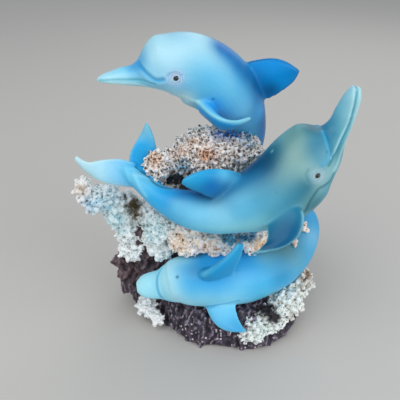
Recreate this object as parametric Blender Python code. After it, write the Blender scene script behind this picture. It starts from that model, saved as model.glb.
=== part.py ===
# Dolphin figurine: three dolphins entwined round a coral-topped rock, cast in one piece.
# Units are metres, +Z is up, the flat underside lies on Z = 0 and the viewer stands at -Y.

import math

import bmesh
import bpy
from mathutils import Vector, noise

OBJECT_NAME = "figurine"

# The whole group: how far the dolphins, their fins and the coral reach. The places further down
# are drawn in millimetres at DRAWN_SIZE and stretch with the group.
GROUP_WIDTH = 0.162
GROUP_DEPTH = 0.125
GROUP_HEIGHT = 0.193
DRAWN_SIZE = (162, 125, 193)

# Rock: an oval foot, a shoulder that narrows to a column, and the column under the top coral.
FOOT_WIDTH = 0.126
FOOT_DEPTH = 0.104
FOOT_HEIGHT = 0.022
SHOULDER_WIDTH = 0.078
SHOULDER_DEPTH = 0.062
SHOULDER_HEIGHT = 0.045
COLUMN_WIDTH = 0.046
COLUMN_DEPTH = 0.040
COLUMN_HEIGHT = 0.116
ROCK_ROUGHNESS = 0.0034
ROCK_GRAIN = 0.012
ROCK_STEPS = 3

# Share of the roughness that lifts the rock's surface, and the rows over which it fades in.
ROCK_LIFT = 0.6
ROCK_FLAT_ROWS = 4.0

# Where the rock's foot, its shoulder and the middle and top of its column stand, as drawn.
FOOT_MIDDLE = (-4, 6, 0)
SHOULDER_MIDDLE = (-8, 8, 0)
WAIST_MIDDLE = (-8, 7, 0)
COLUMN_MIDDLE = (-4, 5, 0)
COLUMN_TOP_MIDDLE = (0, 4, 0)

# Levels of the foot: share of its height, and how much of its outline is left there.
FOOT_LEVELS = [(0.0, 0.97), (0.3, 1.00), (0.8, 0.92), (1.0, 0.76)]
SLOPE_HEIGHT_SHARE = 0.25
SLOPE_OUTLINE_SHARE = 0.45
WAIST_HEIGHT_SHARE = 0.25
COLUMN_HEIGHT_SHARE = 0.55
COLUMN_TAPER = 0.92

# Outline of the foot, as shares of half its width and half its depth, clockwise from the left.
FOOT_SHAPE = [
    (-0.97, 0.25), (-0.80, -0.20), (-0.55, -0.42), (-0.32, -0.69), (-0.15, -0.87),
    (0.15, -0.90), (0.42, -0.96), (0.68, -0.84), (0.88, -0.60), (0.98, -0.30),
    (1.00, 0.15), (0.90, 0.55), (0.62, 0.85), (0.20, 0.98), (-0.30, 0.96), (-0.72, 0.75),
]

# Dolphins: height of each body at its thickest place.
TOP_GIRTH = 0.0405
MIDDLE_GIRTH = 0.0450
LOWER_GIRTH = 0.0370
BODY_SIDES = 14
BODY_RINGS = 28
HEAD_CROWDING = 1.25
SPINE_STEPS = 12

# Fins: thickness at each root, and the share of it that is left at the tip.
DORSAL_THICKNESS = 0.0070
FLIPPER_THICKNESS = 0.0055
FLUKE_THICKNESS = 0.0060
FIN_TIP_SHARE = 0.30
FIN_STEPS = 2
FIN_FULLEST = 0.45

# Section of a fin: share of the way from its leading to its trailing edge, share of its thickness.
FIN_SECTION = [(0.0, 0.0), (0.10, 0.75), (0.35, 1.0), (0.70, 0.60), (1.0, 0.12)]

# Coral: the knobs on its lumps, how high they stand and how far apart.
CORAL_KNOB_HEIGHT = 0.0042
CORAL_KNOB_SPACING = 0.0085

# A knob falls away over this share of its spacing, and this share of its height is below the lump.
KNOB_REACH = 0.67
KNOB_SINK = 0.35

# Corners of the finished casting closer together than this are merged.
WELD_DISTANCE = 0.00001

# Each body station: share of the length from the beak tip, half width and half height
# as shares of half the girth.
TOP_STATIONS = [
    (0.000, 0.10, 0.07), (0.018, 0.22, 0.13), (0.055, 0.28, 0.18), (0.100, 0.34, 0.25),
    (0.125, 0.42, 0.34), (0.145, 0.64, 0.62), (0.180, 0.82, 0.83), (0.240, 0.92, 0.96),
    (0.320, 0.94, 1.00), (0.400, 0.87, 0.91), (0.480, 0.76, 0.79), (0.580, 0.62, 0.68),
    (0.680, 0.48, 0.56), (0.800, 0.33, 0.42), (0.920, 0.21, 0.28), (1.000, 0.12, 0.16),
]
MIDDLE_STATIONS = [
    (0.000, 0.11, 0.08), (0.020, 0.21, 0.16), (0.070, 0.26, 0.24), (0.145, 0.31, 0.31),
    (0.180, 0.42, 0.43), (0.210, 0.60, 0.65), (0.260, 0.75, 0.80), (0.330, 0.87, 0.92),
    (0.410, 0.92, 1.00), (0.490, 0.84, 0.90), (0.570, 0.70, 0.75), (0.650, 0.56, 0.59),
    (0.740, 0.44, 0.46), (0.830, 0.34, 0.36), (0.900, 0.28, 0.29), (0.960, 0.23, 0.23),
    (1.000, 0.13, 0.13),
]
LOWER_STATIONS = [
    (0.000, 0.20, 0.12), (0.015, 0.37, 0.23), (0.040, 0.45, 0.31), (0.068, 0.48, 0.37),
    (0.084, 0.54, 0.48), (0.105, 0.66, 0.63), (0.140, 0.80, 0.79), (0.200, 0.93, 0.93),
    (0.280, 1.00, 1.00), (0.380, 0.94, 0.95), (0.460, 0.86, 0.86), (0.540, 0.76, 0.76),
    (0.620, 0.62, 0.62), (0.700, 0.50, 0.50), (0.800, 0.38, 0.40), (0.900, 0.28, 0.30),
    (1.000, 0.12, 0.14),
]

# Spines from beak tip to tail, each place as drawn with the direction that the back faces there.
TOP_SPINE = [
    ((-65, -12, 171), (0.0, 0.0, 1.0)), ((-49, -8, 172), (0.0, 0.0, 1.0)),
    ((-37, -5, 174), (0.0, 0.0, 1.0)), ((-27, -3, 176), (0.1, 0.0, 1.0)),
    ((-13, 0, 174), (0.3, 0.0, 1.0)), ((1, 4, 167), (0.6, 0.0, 0.9)),
    ((11, 9, 155), (0.9, 0.0, 0.5)), ((19, 16, 139), (1.0, 0.0, 0.3)),
    ((22, 24, 120), (1.0, 0.1, 0.1)), ((19, 31, 101), (1.0, 0.3, 0.0)),
    ((12, 37, 85), (0.8, 0.6, -0.2)), ((-1, 40, 72), (0.3, 0.9, -0.3)),
    ((-17, 38, 66), (-0.1, 1.0, -0.2)), ((-31, 33, 67), (-0.3, 1.0, 0.0)),
]
MIDDLE_SPINE = [
    ((75, -35, 174), (-0.8, -0.1, 0.4)), ((72, -34, 162), (-0.8, -0.1, 0.4)),
    ((68, -33, 150), (-0.8, -0.1, 0.5)), ((61, -33, 139), (-0.8, -0.1, 0.6)),
    ((53, -33, 127), (-0.7, -0.1, 0.7)), ((43, -35, 117), (-0.6, -0.2, 0.8)),
    ((29, -39, 109), (-0.4, -0.3, 0.9)), ((15, -42, 105), (-0.2, -0.4, 0.9)),
    ((0, -43, 103), (0.0, -0.4, 0.9)), ((-15, -42, 105), (0.1, -0.5, 0.8)),
    ((-28, -38, 108), (0.2, -0.5, 0.8)), ((-38, -33, 113), (0.2, -0.6, 0.7)),
    ((-46, -28, 118), (0.1, -0.7, 0.7)), ((-52, -24, 122), (0.1, -0.7, 0.7)),
]
LOWER_SPINE = [
    ((-48, -33, 40), (0.0, -0.7, 0.7)), ((-41, -33, 41), (0.0, -0.7, 0.7)),
    ((-34, -33, 42), (0.0, -0.7, 0.7)), ((-26, -32, 43), (0.0, -0.7, 0.7)),
    ((-19, -32, 45), (0.0, -0.7, 0.7)), ((-6, -32, 46), (0.0, -0.7, 0.7)),
    ((6, -31, 47), (0.0, -0.7, 0.7)), ((21, -28, 45), (0.2, -0.7, 0.7)),
    ((34, -22, 44), (0.3, -0.7, 0.6)), ((47, -14, 45), (0.5, -0.7, 0.5)),
    ((58, -5, 49), (0.8, -0.6, 0.3)), ((65, 4, 55), (1.0, -0.3, 0.2)),
    ((67, 16, 61), (1.0, 0.0, 0.2)), ((61, 31, 65), (0.9, 0.4, 0.2)),
    ((47, 43, 65), (0.6, 0.8, 0.2)), ((29, 50, 62), (0.2, 1.0, 0.2)),
    ((12, 53, 58), (0.0, 1.0, 0.2)),
]

# Fins: leading edge and trailing edge as drawn, each from root to tip.
FINS = {
    "top_dorsal": (DORSAL_THICKNESS, [
        (8, 8, 172), (22, 8, 176), (35, 8, 178),
        (44, 8, 176), (52, 8, 171),
    ], [
        (20, 12, 148), (34, 11, 152), (42, 9, 159),
        (48, 8, 164), (52, 8, 170),
    ]),
    "top_left_flipper": (FLIPPER_THICKNESS, [
        (-8, -13, 161), (-1, -19, 156), (7, -18, 150),
        (15, -14, 147), (23, -8, 147),
    ], [
        (3, -8, 143), (4, -14, 142), (9, -14, 141),
        (15, -11, 142), (23, -7, 146),
    ]),
    "top_right_flipper": (FLIPPER_THICKNESS, [
        (-8, 14, 160), (-4, 22, 153), (3, 28, 146),
        (11, 33, 141), (19, 35, 137),
    ], [
        (5, 12, 143), (7, 20, 141), (10, 27, 139),
        (14, 31, 138), (19, 35, 136),
    ]),
    "top_fluke_up": (FLUKE_THICKNESS, [
        (-20, 38, 68), (-26, 38, 76), (-33, 36, 84),
        (-41, 33, 89),
    ], [
        (-36, 32, 66), (-39, 33, 73), (-41, 34, 80),
        (-42, 33, 88),
    ]),
    "top_fluke_down": (FLUKE_THICKNESS, [
        (-20, 38, 64), (-28, 39, 56), (-36, 38, 49),
        (-44, 35, 44),
    ], [
        (-36, 32, 66), (-41, 34, 59), (-44, 35, 52),
        (-45, 35, 45),
    ]),
    "middle_dorsal": (DORSAL_THICKNESS, [
        (22, -34, 121), (11, -40, 128), (-1, -44, 131),
        (-10, -47, 130), (-16, -48, 127),
    ], [
        (2, -46, 112), (-1, -50, 118), (-6, -50, 122),
        (-11, -49, 125), (-16, -48, 126),
    ]),
    "middle_right_flipper": (FLIPPER_THICKNESS, [
        (46, -48, 115), (50, -58, 110), (48, -64, 102),
        (41, -67, 96), (29, -68, 91), (21, -67, 90),
    ], [
        (24, -50, 108), (27, -60, 101), (28, -64, 97),
        (26, -66, 94), (24, -67, 92), (20, -67, 90),
    ]),
    "middle_left_flipper": (FLIPPER_THICKNESS, [
        (52, -20, 108), (58, -15, 102), (60, -10, 94),
        (55, -6, 86), (48, -4, 80),
    ], [
        (36, -24, 100), (42, -16, 94), (45, -11, 89),
        (46, -7, 84), (47, -4, 80),
    ]),
    "middle_fluke_left": (FLUKE_THICKNESS, [
        (-40, -30, 110), (-54, -28, 109), (-66, -26, 111),
        (-74, -27, 119), (-79.5, -28, 129),
    ], [
        (-45, -23, 125), (-56, -22, 127), (-65, -24, 127),
        (-72, -27, 128.5), (-78.5, -28, 131.5),
    ]),
    "middle_fluke_right": (FLUKE_THICKNESS, [
        (-30, -27, 109), (-31, -17, 116), (-33, -11, 127),
        (-35, -10, 137), (-38, -10, 144),
    ], [
        (-49, -24, 121), (-49, -18, 128), (-46, -13, 133),
        (-43, -10, 137), (-39, -10, 145),
    ]),
    "lower_dorsal": (DORSAL_THICKNESS, [
        (-9, -40, 56), (-6, -50, 63), (0, -53, 70),
        (8, -52, 77), (15, -49, 85),
    ], [
        (14, -38, 55), (14, -46, 62), (15, -49, 69),
        (16, -49, 77), (17, -48, 85),
    ]),
    "lower_left_flipper": (FLIPPER_THICKNESS, [
        (-5, -38, 37), (-3, -45, 32), (2, -53, 27),
        (10, -58, 25), (21, -60, 26),
    ], [
        (17, -36, 38), (16, -45, 34), (17, -51, 31),
        (19, -56, 29), (22, -60, 27),
    ]),
    "lower_right_flipper": (FLIPPER_THICKNESS, [
        (-5, -22, 56), (-3, -16, 62), (2, -12, 67),
        (10, -10, 70), (18, -10, 72),
    ], [
        (14, -22, 56), (14, -17, 61), (15, -13, 65),
        (17, -11, 69), (19, -10, 71),
    ]),
    "lower_fluke_up": (FLUKE_THICKNESS, [
        (20, 52, 62), (14, 54, 71), (6, 55, 79),
        (-4, 55, 85),
    ], [
        (4, 53, 58), (0, 54, 68), (-2, 55, 76),
        (-5, 55, 84),
    ]),
    "lower_fluke_down": (FLUKE_THICKNESS, [
        (20, 52, 56), (14, 54, 47), (6, 55, 39),
        (-4, 55, 33),
    ], [
        (4, 53, 57), (0, 54, 48), (-2, 55, 41),
        (-5, 55, 34),
    ]),
}

# Coral lumps as drawn: middle, half sizes along X, Y and Z, and how finely each one is built.
CORAL_LUMPS = [
    ((3, 4, 118), (31, 26, 19), 3),
    ((-24, -6, 111), (16, 15, 18), 3),
    ((20, -4, 122), (13, 13, 13), 2),
    ((-6, -10, 124), (14, 13, 12), 2),
    ((-77, -19, 104), (7, 7, 8), 2),
    ((-70, -17, 96), (9, 9, 9), 2),
    ((-62, -14, 86), (9, 9, 9), 2),
    ((-56, -12, 75), (9, 9, 10), 2),
    ((-47, -13, 79), (10, 10, 9), 2),
    ((-34, -21, 77), (11, 10, 9), 2),
    ((-15, -27, 73), (14, 11, 10), 2),
    ((4, -28, 73), (14, 11, 10), 2),
    ((26, -26, 75), (14, 11, 11), 2),
    ((-50, -12, 56), (9, 9, 10), 2),
    ((-31, -16, 62), (9, 9, 9), 2),
    ((50, -4, 74), (11, 11, 12), 2),
    ((60, -12, 29), (11, 11, 12), 2),
    ((51, -26, 21), (12, 11, 11), 2),
    ((38, -37, 17), (12, 10, 10), 2),
    ((26, -44, 13), (9, 8, 9), 2),
    ((-46, -17, 14), (10, 9, 8), 2),
    ((-34, 40, 24), (14, 11, 13), 2),
    ((36, 38, 24), (14, 12, 13), 2),
]

# Rough knobs of rock at the sides of the column, built like the coral.
ROCK_KNOBS = [
    ((-45, -4, 58), (11, 13, 26), 2),
    ((-54, 4, 36), (10, 12, 17), 2),
    ((-36, 4, 30), (22, 24, 22), 2),
    ((34, 14, 44), (30, 30, 30), 3),
]


def placed(drawn):
    """A drawn place or size in the figurine, in metres."""
    group = (GROUP_WIDTH, GROUP_DEPTH, GROUP_HEIGHT)
    return Vector(value / full * size for value, full, size in zip(drawn, DRAWN_SIZE, group))


def smooth_value(before, start, end, after, share):
    """Point at a share of the way from start to end on a smooth curve through all four."""
    return 0.5 * (
        2.0 * start
        + (end - before) * share
        + (2.0 * before - 5.0 * start + 4.0 * end - after) * share ** 2
        + (3.0 * start - before - 3.0 * end + after) * share ** 3
    )


def smooth_curve(points, steps):
    """The points joined by a smooth curve with the given steps between neighbours."""
    padded = [points[0]] + list(points) + [points[-1]]
    curve = []
    for index in range(1, len(padded) - 2):
        for step in range(steps):
            curve.append(smooth_value(*padded[index - 1:index + 3], step / steps))
    curve.append(points[-1])
    return curve


def mesh_object(name, bm, material):
    """A new object from the bmesh, in its material, with its faces turned outwards."""
    bmesh.ops.recalc_face_normals(bm, faces=bm.faces)
    mesh = bpy.data.meshes.new(name)
    bm.to_mesh(mesh)
    bm.free()
    mesh.materials.append(material)
    piece = bpy.data.objects.new(name, mesh)
    piece.hide_render = True
    piece.display_type = "WIRE"
    shapes.objects.link(piece)
    return piece


def loft(name, rings, material):
    """A closed skin over rings of points, with a middle point closing each end."""
    bm = bmesh.new()
    rows = [[bm.verts.new(point) for point in ring] for ring in rings]
    for row, following in zip(rows, rows[1:]):
        for index, corner in enumerate(row):
            after = (index + 1) % len(row)
            bm.faces.new((corner, row[after], following[after], following[index]))
    for row, ring in ((rows[0], rings[0]), (rows[-1], rings[-1])):
        middle = bm.verts.new(sum(ring, Vector()) / len(ring))
        for index, corner in enumerate(row):
            bm.faces.new((corner, row[(index + 1) % len(row)], middle))
    return mesh_object(name, bm, material)


def station_size(stations, share):
    """Half width and half height of a body at a share of its length."""
    for start, end in zip(stations, stations[1:]):
        if share <= end[0]:
            part = (share - start[0]) / (end[0] - start[0])
            part = part * part * (3.0 - 2.0 * part)
            return start[1] + (end[1] - start[1]) * part, start[2] + (end[2] - start[2]) * part
    return stations[-1][1], stations[-1][2]


def body(name, spine, stations, girth, material):
    """A dolphin's body: oval rings along its spine, closer together at the head."""
    places = smooth_curve([placed(place) for place, back in spine], SPINE_STEPS)
    backs = smooth_curve([Vector(back) for place, back in spine], SPINE_STEPS)
    lengths = [0.0]
    for before, after in zip(places, places[1:]):
        lengths.append(lengths[-1] + (after - before).length)
    rings = []
    for step in range(BODY_RINGS + 1):
        share = (step / BODY_RINGS) ** HEAD_CROWDING
        goal = share * lengths[-1]
        index = next(i for i in range(1, len(lengths)) if lengths[i] >= goal - 1e-9)
        part = (goal - lengths[index - 1]) / (lengths[index] - lengths[index - 1])
        middle = places[index - 1].lerp(places[index], part)
        along = (places[index] - places[index - 1]).normalized()
        side = along.cross(backs[index - 1].lerp(backs[index], part)).normalized()
        back = side.cross(along)
        half_width, half_height = station_size(stations, share)
        ring = []
        for corner in range(BODY_SIDES):
            angle = math.tau * corner / BODY_SIDES
            ring.append(
                middle
                + side * (math.cos(angle) * half_width * girth / 2)
                + back * (math.sin(angle) * half_height * girth / 2)
            )
        rings.append(ring)
    return loft(name, rings, material)


def fin(name, thickness, leading, trailing, material):
    """A fin with a rounded leading edge and a thin trailing edge."""
    fronts = smooth_curve([placed(point) for point in leading], FIN_STEPS)
    rears = smooth_curve([placed(point) for point in trailing], FIN_STEPS)
    rings = []
    for index, (front, rear) in enumerate(zip(fronts, rears)):
        share = index / (len(fronts) - 1)
        following = min(index + 1, len(fronts) - 1)
        span = (fronts[following] + rears[following]) - (fronts[following - 1] + rears[following - 1])
        chord = rear - front
        across = chord.cross(span).normalized()
        half = 0.5 * thickness * (1.0 - (1.0 - FIN_TIP_SHARE) * share)
        half = min(half, FIN_FULLEST * chord.length)
        upper = [front + chord * along + across * (half * rise) for along, rise in FIN_SECTION]
        under = [front + chord * along - across * (half * rise) for along, rise in FIN_SECTION[1:]]
        rings.append(upper + under[::-1])
    return loft(name, rings, material)


def rough(place, spacing):
    """A bumpy value between about 0 and 1 that repeats over roughly the given spacing."""
    distances, points = noise.voronoi(place / spacing)
    return max(0.0, 1.0 - (distances[0] / KNOB_REACH) ** 2)


def lump(name, middle, halves, fineness, knob_height, knob_spacing, material):
    """A knobbly lump grown from a round ball."""
    bm = bmesh.new()
    bmesh.ops.create_icosphere(bm, subdivisions=fineness, radius=1.0)
    centre = placed(middle)
    half_sizes = placed(halves)
    for corner in bm.verts:
        outwards = corner.co.normalized()
        surface = centre + Vector(a * b for a, b in zip(outwards, half_sizes))
        rise = knob_height * (rough(surface, knob_spacing) - KNOB_SINK)
        corner.co = surface + outwards * rise
    return mesh_object(name, bm, material)


def rock(name, material):
    """The rock: an uneven oval foot, a shoulder and a column, flat underneath."""
    foot = smooth_curve([Vector(share) for share in FOOT_SHAPE + FOOT_SHAPE[:1]], 2)[:-1]
    slope = SHOULDER_HEIGHT - FOOT_HEIGHT
    above = COLUMN_HEIGHT - SHOULDER_HEIGHT
    shoulder = (SHOULDER_WIDTH, SHOULDER_DEPTH)
    waist = (0.5 * (SHOULDER_WIDTH + COLUMN_WIDTH), 0.5 * (SHOULDER_DEPTH + COLUMN_DEPTH))
    column = (COLUMN_WIDTH, COLUMN_DEPTH)
    column_top = (COLUMN_WIDTH * COLUMN_TAPER, COLUMN_DEPTH * COLUMN_TAPER)
    levels = [
        (FOOT_HEIGHT * share, outline_share, *shoulder, *placed(FOOT_MIDDLE).xy)
        for share, outline_share in FOOT_LEVELS
    ]
    levels += [
        (FOOT_HEIGHT + SLOPE_HEIGHT_SHARE * slope, SLOPE_OUTLINE_SHARE, *shoulder,
         *placed(FOOT_MIDDLE).xy),
        (SHOULDER_HEIGHT, 0.0, *shoulder, *placed(SHOULDER_MIDDLE).xy),
        (SHOULDER_HEIGHT + WAIST_HEIGHT_SHARE * above, 0.0, *waist, *placed(WAIST_MIDDLE).xy),
        (SHOULDER_HEIGHT + COLUMN_HEIGHT_SHARE * above, 0.0, *column, *placed(COLUMN_MIDDLE).xy),
        (COLUMN_HEIGHT, 0.0, *column_top, *placed(COLUMN_TOP_MIDDLE).xy),
    ]
    columns = [smooth_curve(column, ROCK_STEPS) for column in zip(*levels)]
    rings = []
    for row, (height, outline_share, width, depth, middle_x, middle_y) in enumerate(zip(*columns)):
        ring = []
        for share in foot:
            outwards = share.to_3d().normalized()
            oval = Vector((middle_x + outwards.x * width / 2, middle_y + outwards.y * depth / 2))
            edge = Vector((share.x * FOOT_WIDTH / 2, share.y * FOOT_DEPTH / 2))
            place = oval.lerp(edge, outline_share).to_3d()
            place.z = max(height, 0.0)
            rise = 2.0 * (rough(place, ROCK_GRAIN) - KNOB_SINK)
            lift = noise.noise(place / ROCK_GRAIN) if row else 0.0
            place += outwards * (ROCK_ROUGHNESS * rise)
            place.z += lift * ROCK_ROUGHNESS * ROCK_LIFT * min(1.0, row / ROCK_FLAT_ROWS)
            ring.append(place)
        rings.append(ring)
    return loft(name, rings, material)


def painted(name, colour, roughness):
    """A painted, lacquered finish."""
    material = bpy.data.materials.new(name)
    material.use_nodes = True
    shader = material.node_tree.nodes["Principled BSDF"]
    shader.inputs["Base Color"].default_value = (*colour, 1.0)
    shader.inputs["Roughness"].default_value = roughness
    shader.inputs["Metallic"].default_value = 0.0
    return material


def outer_skin_only(bm):
    """Drop any closed pocket left inside the casting, so that one outer skin remains."""
    unseen = set(bm.verts)
    skins = []
    while unseen:
        start = unseen.pop()
        skin = {start}
        edge_of_search = [start]
        while edge_of_search:
            corner = edge_of_search.pop()
            for edge in corner.link_edges:
                other = edge.other_vert(corner)
                if other in unseen:
                    unseen.discard(other)
                    skin.add(other)
                    edge_of_search.append(other)
        skins.append(skin)
    skins.sort(key=len)
    for skin in skins[:-1]:
        bmesh.ops.delete(bm, geom=list(skin), context="VERTS")
    return len(skins) - 1


for leftover in list(bpy.data.objects):
    bpy.data.objects.remove(leftover)

casting = bpy.data.collections.new(OBJECT_NAME)
shapes = bpy.data.collections.new("shapes_to_join")
bpy.context.scene.collection.children.link(casting)
bpy.context.scene.collection.children.link(shapes)

rock_paint = painted("dark_rock_paint", (30, 24, 34), 0.55)
coral_paint = painted("cream_coral_paint", (0.62, 0.56, 0.48), 0.60)
dolphin_paint = painted("blue_dolphin_paint", (0.11, 0.42, 0.68), 0.30)

rock_piece = rock("rock", rock_paint)
body("top_body", TOP_SPINE, TOP_STATIONS, TOP_GIRTH, dolphin_paint)
body("middle_body", MIDDLE_SPINE, MIDDLE_STATIONS, MIDDLE_GIRTH, dolphin_paint)
body("lower_body", LOWER_SPINE, LOWER_STATIONS, LOWER_GIRTH, dolphin_paint)
for fin_name, (thickness, leading, trailing) in FINS.items():
    fin(fin_name, thickness, leading, trailing, dolphin_paint)
for number, (middle, halves, fineness) in enumerate(CORAL_LUMPS):
    lump(f"coral_{number}", middle, halves, fineness, CORAL_KNOB_HEIGHT, CORAL_KNOB_SPACING,
         coral_paint)
for number, (middle, halves, fineness) in enumerate(ROCK_KNOBS):
    lump(f"rock_knob_{number}", middle, halves, fineness, ROCK_ROUGHNESS, ROCK_GRAIN, rock_paint)

# The rock leaves the joined shapes and takes them all in by one union.
shapes.objects.unlink(rock_piece)
casting.objects.link(rock_piece)
union = rock_piece.modifiers.new("join_shapes", "BOOLEAN")
union.operation = "UNION"
union.operand_type = "COLLECTION"
union.collection = shapes
union.solver = "EXACT"
union.material_mode = "TRANSFER"

evaluated = rock_piece.evaluated_get(bpy.context.evaluated_depsgraph_get())
joined = bpy.data.meshes.new_from_object(evaluated)
joined.name = OBJECT_NAME
bm = bmesh.new()
bm.from_mesh(joined)
bmesh.ops.remove_doubles(bm, verts=bm.verts, dist=WELD_DISTANCE)
bmesh.ops.dissolve_degenerate(bm, edges=bm.edges, dist=WELD_DISTANCE)
bmesh.ops.triangulate(bm, faces=bm.faces)
pockets = outer_skin_only(bm)
bm.to_mesh(joined)
bm.free()
figurine = bpy.data.objects.new(OBJECT_NAME, joined)
casting.objects.link(figurine)
bpy.data.objects.remove(rock_piece)
joined.shade_smooth()
joined.set_sharp_from_angle(angle=math.radians(40))
print("figurine triangles", len(joined.polygons), "closed pockets removed", pockets)
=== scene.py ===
import math
import random

import bmesh
import bpy
import numpy as np
from mathutils import Matrix, Vector, noise
from mathutils.bvhtree import BVHTree
from mathutils.kdtree import KDTree


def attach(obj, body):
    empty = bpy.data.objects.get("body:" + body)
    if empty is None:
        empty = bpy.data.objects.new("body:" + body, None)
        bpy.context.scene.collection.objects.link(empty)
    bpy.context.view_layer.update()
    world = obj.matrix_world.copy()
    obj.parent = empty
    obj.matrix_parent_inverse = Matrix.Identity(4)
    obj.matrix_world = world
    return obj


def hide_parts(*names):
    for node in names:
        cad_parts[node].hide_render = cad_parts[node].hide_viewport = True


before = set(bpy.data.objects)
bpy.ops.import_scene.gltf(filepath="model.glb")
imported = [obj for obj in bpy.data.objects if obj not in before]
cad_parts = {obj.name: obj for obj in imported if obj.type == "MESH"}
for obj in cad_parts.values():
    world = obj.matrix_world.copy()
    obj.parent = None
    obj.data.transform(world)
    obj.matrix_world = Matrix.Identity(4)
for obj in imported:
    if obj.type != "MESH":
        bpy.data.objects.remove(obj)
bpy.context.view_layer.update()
castNode = "figurine"
millimetre = 0.001

# The camera stands where the photographer's did, with the same field of view.
view = {
    "place": (-0.007, -0.313, 0.264),
    "pitchDown": 29.6,
    "focalPixels": 545.0,
    "picturePixels": 400.0,
    "sensorWidth": 36.0,
    "clipStart": 0.01,
}


def setUpCamera():
    camera = bpy.data.cameras.new("camera")
    camera.sensor_width = view["sensorWidth"]
    camera.lens = view["sensorWidth"] * view["focalPixels"] / view["picturePixels"]
    camera.clip_start = view["clipStart"]
    holder = addObject("camera", camera)
    holder.location = view["place"]
    holder.rotation_euler = (math.radians(90 - view["pitchDown"]), 0, 0)
    bpy.context.scene.camera = holder


def pixelRay(px, py):  # direction from the camera through a pixel of the 400 pixel picture
    pitch = math.radians(view["pitchDown"])
    forward = Vector((0, math.cos(pitch), -math.sin(pitch)))
    up = Vector((0, math.sin(pitch), math.cos(pitch)))
    middle = view["picturePixels"] / 2
    ray = forward * view["focalPixels"] + Vector((px - middle, 0, 0)) + up * (middle - py)
    return ray.normalized()


# Object, colour and node helpers.

def addObject(name, data):
    added = bpy.data.objects.new(name, data)
    bpy.context.scene.collection.objects.link(added)
    return added


def hexColour(text):  # an sRGB hex value as linear red, green, blue
    values = [int(text[i:i + 2], 16) / 255 for i in (1, 3, 5)]
    return [v / 12.92 if v <= 0.04045 else ((v + 0.055) / 1.055) ** 2.4 for v in values]


def addNode(tree, kind, settings=None, links=None):  # a linked node stands for its first output
    node = tree.nodes.new("ShaderNode" + kind)
    for name, value in (settings or {}).items():
        if name == "stops":
            ramp = node.color_ramp
            while len(ramp.elements) < len(value):
                ramp.elements.new(0.5)
            for element, (position, colour) in zip(ramp.elements, value):
                element.position = position
                element.color = (*hexColour(colour), 1)
        elif isinstance(name, int) or name in node.inputs:
            node.inputs[name].default_value = value
        else:
            setattr(node, name, value)
    for socket, source in (links or {}).items():
        output = source.outputs[0] if isinstance(source, bpy.types.Node) else source
        tree.links.new(output, node.inputs[socket])
    return node


def newMaterial(name):
    material = bpy.data.materials.new(name)
    material.use_nodes = True
    tree = material.node_tree
    tree.nodes.clear()
    coords = addNode(tree, "TexCoord").outputs["Object"]
    return material, tree, coords


def finishMaterial(tree, shader):
    addNode(tree, "OutputMaterial", links={"Surface": shader})


# Mesh helpers.

def smoothCurve(points, steps):  # a smooth curve through the points
    padded = [points[0]] + list(points) + [points[-1]]
    curve = []
    for index in range(1, len(padded) - 2):
        before, start, end, after = padded[index - 1:index + 3]
        for step in range(steps):
            t = step / steps
            curve.append(0.5 * (2 * start + (end - before) * t
                                + (2 * before - 5 * start + 4 * end - after) * t ** 2
                                + (3 * start - before - 3 * end + after) * t ** 3))
    curve.append(points[-1])
    return curve


def addRing(bm, corners):  # a closed ring of edges through the corners
    made = bmesh.ops.create_circle(bm, segments=len(corners), radius=1.0)
    for vert, place in zip(made["verts"], corners):
        vert.co = place
    return list({edge for vert in made["verts"] for edge in vert.link_edges})


def loftRings(rings):  # a closed skin over the rings, as a bmesh of its own
    bm = bmesh.new()
    loops = [addRing(bm, ring) for ring in rings]
    for loop, following in zip(loops, loops[1:]):
        bmesh.ops.bridge_loops(bm, edges=loop + following)
    for loop in (loops[0], loops[-1]):
        bmesh.ops.contextual_create(bm, geom=loop)
    bmesh.ops.recalc_face_normals(bm, faces=bm.faces)
    return bm


def meshFrom(bm, name="shape"):
    mesh = bpy.data.meshes.new(name)
    bm.to_mesh(mesh)
    bm.free()
    return mesh


def joinShapes(shapes):  # several bmeshes as one mesh
    joined = bmesh.new()
    for bm in shapes:
        mesh = meshFrom(bm)
        joined.from_mesh(mesh)
        bpy.data.meshes.remove(mesh)
    return meshFrom(joined)


def shaped(mesh, steps, weights=None):  # the mesh with modifiers applied, in order
    worker = addObject("worker", mesh)
    if weights is not None:
        group = worker.vertex_groups.new(name="weights")
        for index in np.nonzero(weights > 0.01)[0]:
            group.add([int(index)], float(weights[index]), "REPLACE")
    for kind, settings in steps:
        modifier = worker.modifiers.new(kind, kind)
        for name, value in settings.items():
            setattr(modifier, name, value)
    evaluated = worker.evaluated_get(bpy.context.evaluated_depsgraph_get())
    result = bpy.data.meshes.new_from_object(evaluated)
    bpy.data.objects.remove(worker)
    bpy.data.meshes.remove(mesh)
    return result


def voxels(size):
    return ("REMESH", {"mode": "VOXEL", "voxel_size": size, "use_smooth_shade": True})


def smoothing(times, factor=0.5, group=""):
    return ("SMOOTH", {"iterations": times, "factor": factor, "vertex_group": group})


def places(mesh):  # one row for each vertex
    values = np.empty(len(mesh.vertices) * 3)
    mesh.vertices.foreach_get("co", values)
    return values.reshape(-1, 3)


def setPlaces(mesh, values):
    mesh.vertices.foreach_set("co", values.ravel())
    mesh.update()


def normals(mesh):
    values = np.empty(len(mesh.vertices) * 3)
    mesh.vertex_normals.foreach_get("vector", values)
    return values.reshape(-1, 3)


def setColours(mesh, name, values):
    attribute = mesh.attributes.new(name, "FLOAT_COLOR", "POINT")
    full = np.concatenate([values, np.ones((len(values), 1))], axis=1)
    attribute.data.foreach_set("color", full.astype(np.float32).ravel())


def setValues(mesh, name, values):
    attribute = mesh.attributes.new(name, "FLOAT", "POINT")
    attribute.data.foreach_set("value", values.astype(np.float32))


def smoothStep(low, high, values):
    share = np.clip((values - low) / (high - low), 0, 1)
    return share * share * (3 - 2 * share)


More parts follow.
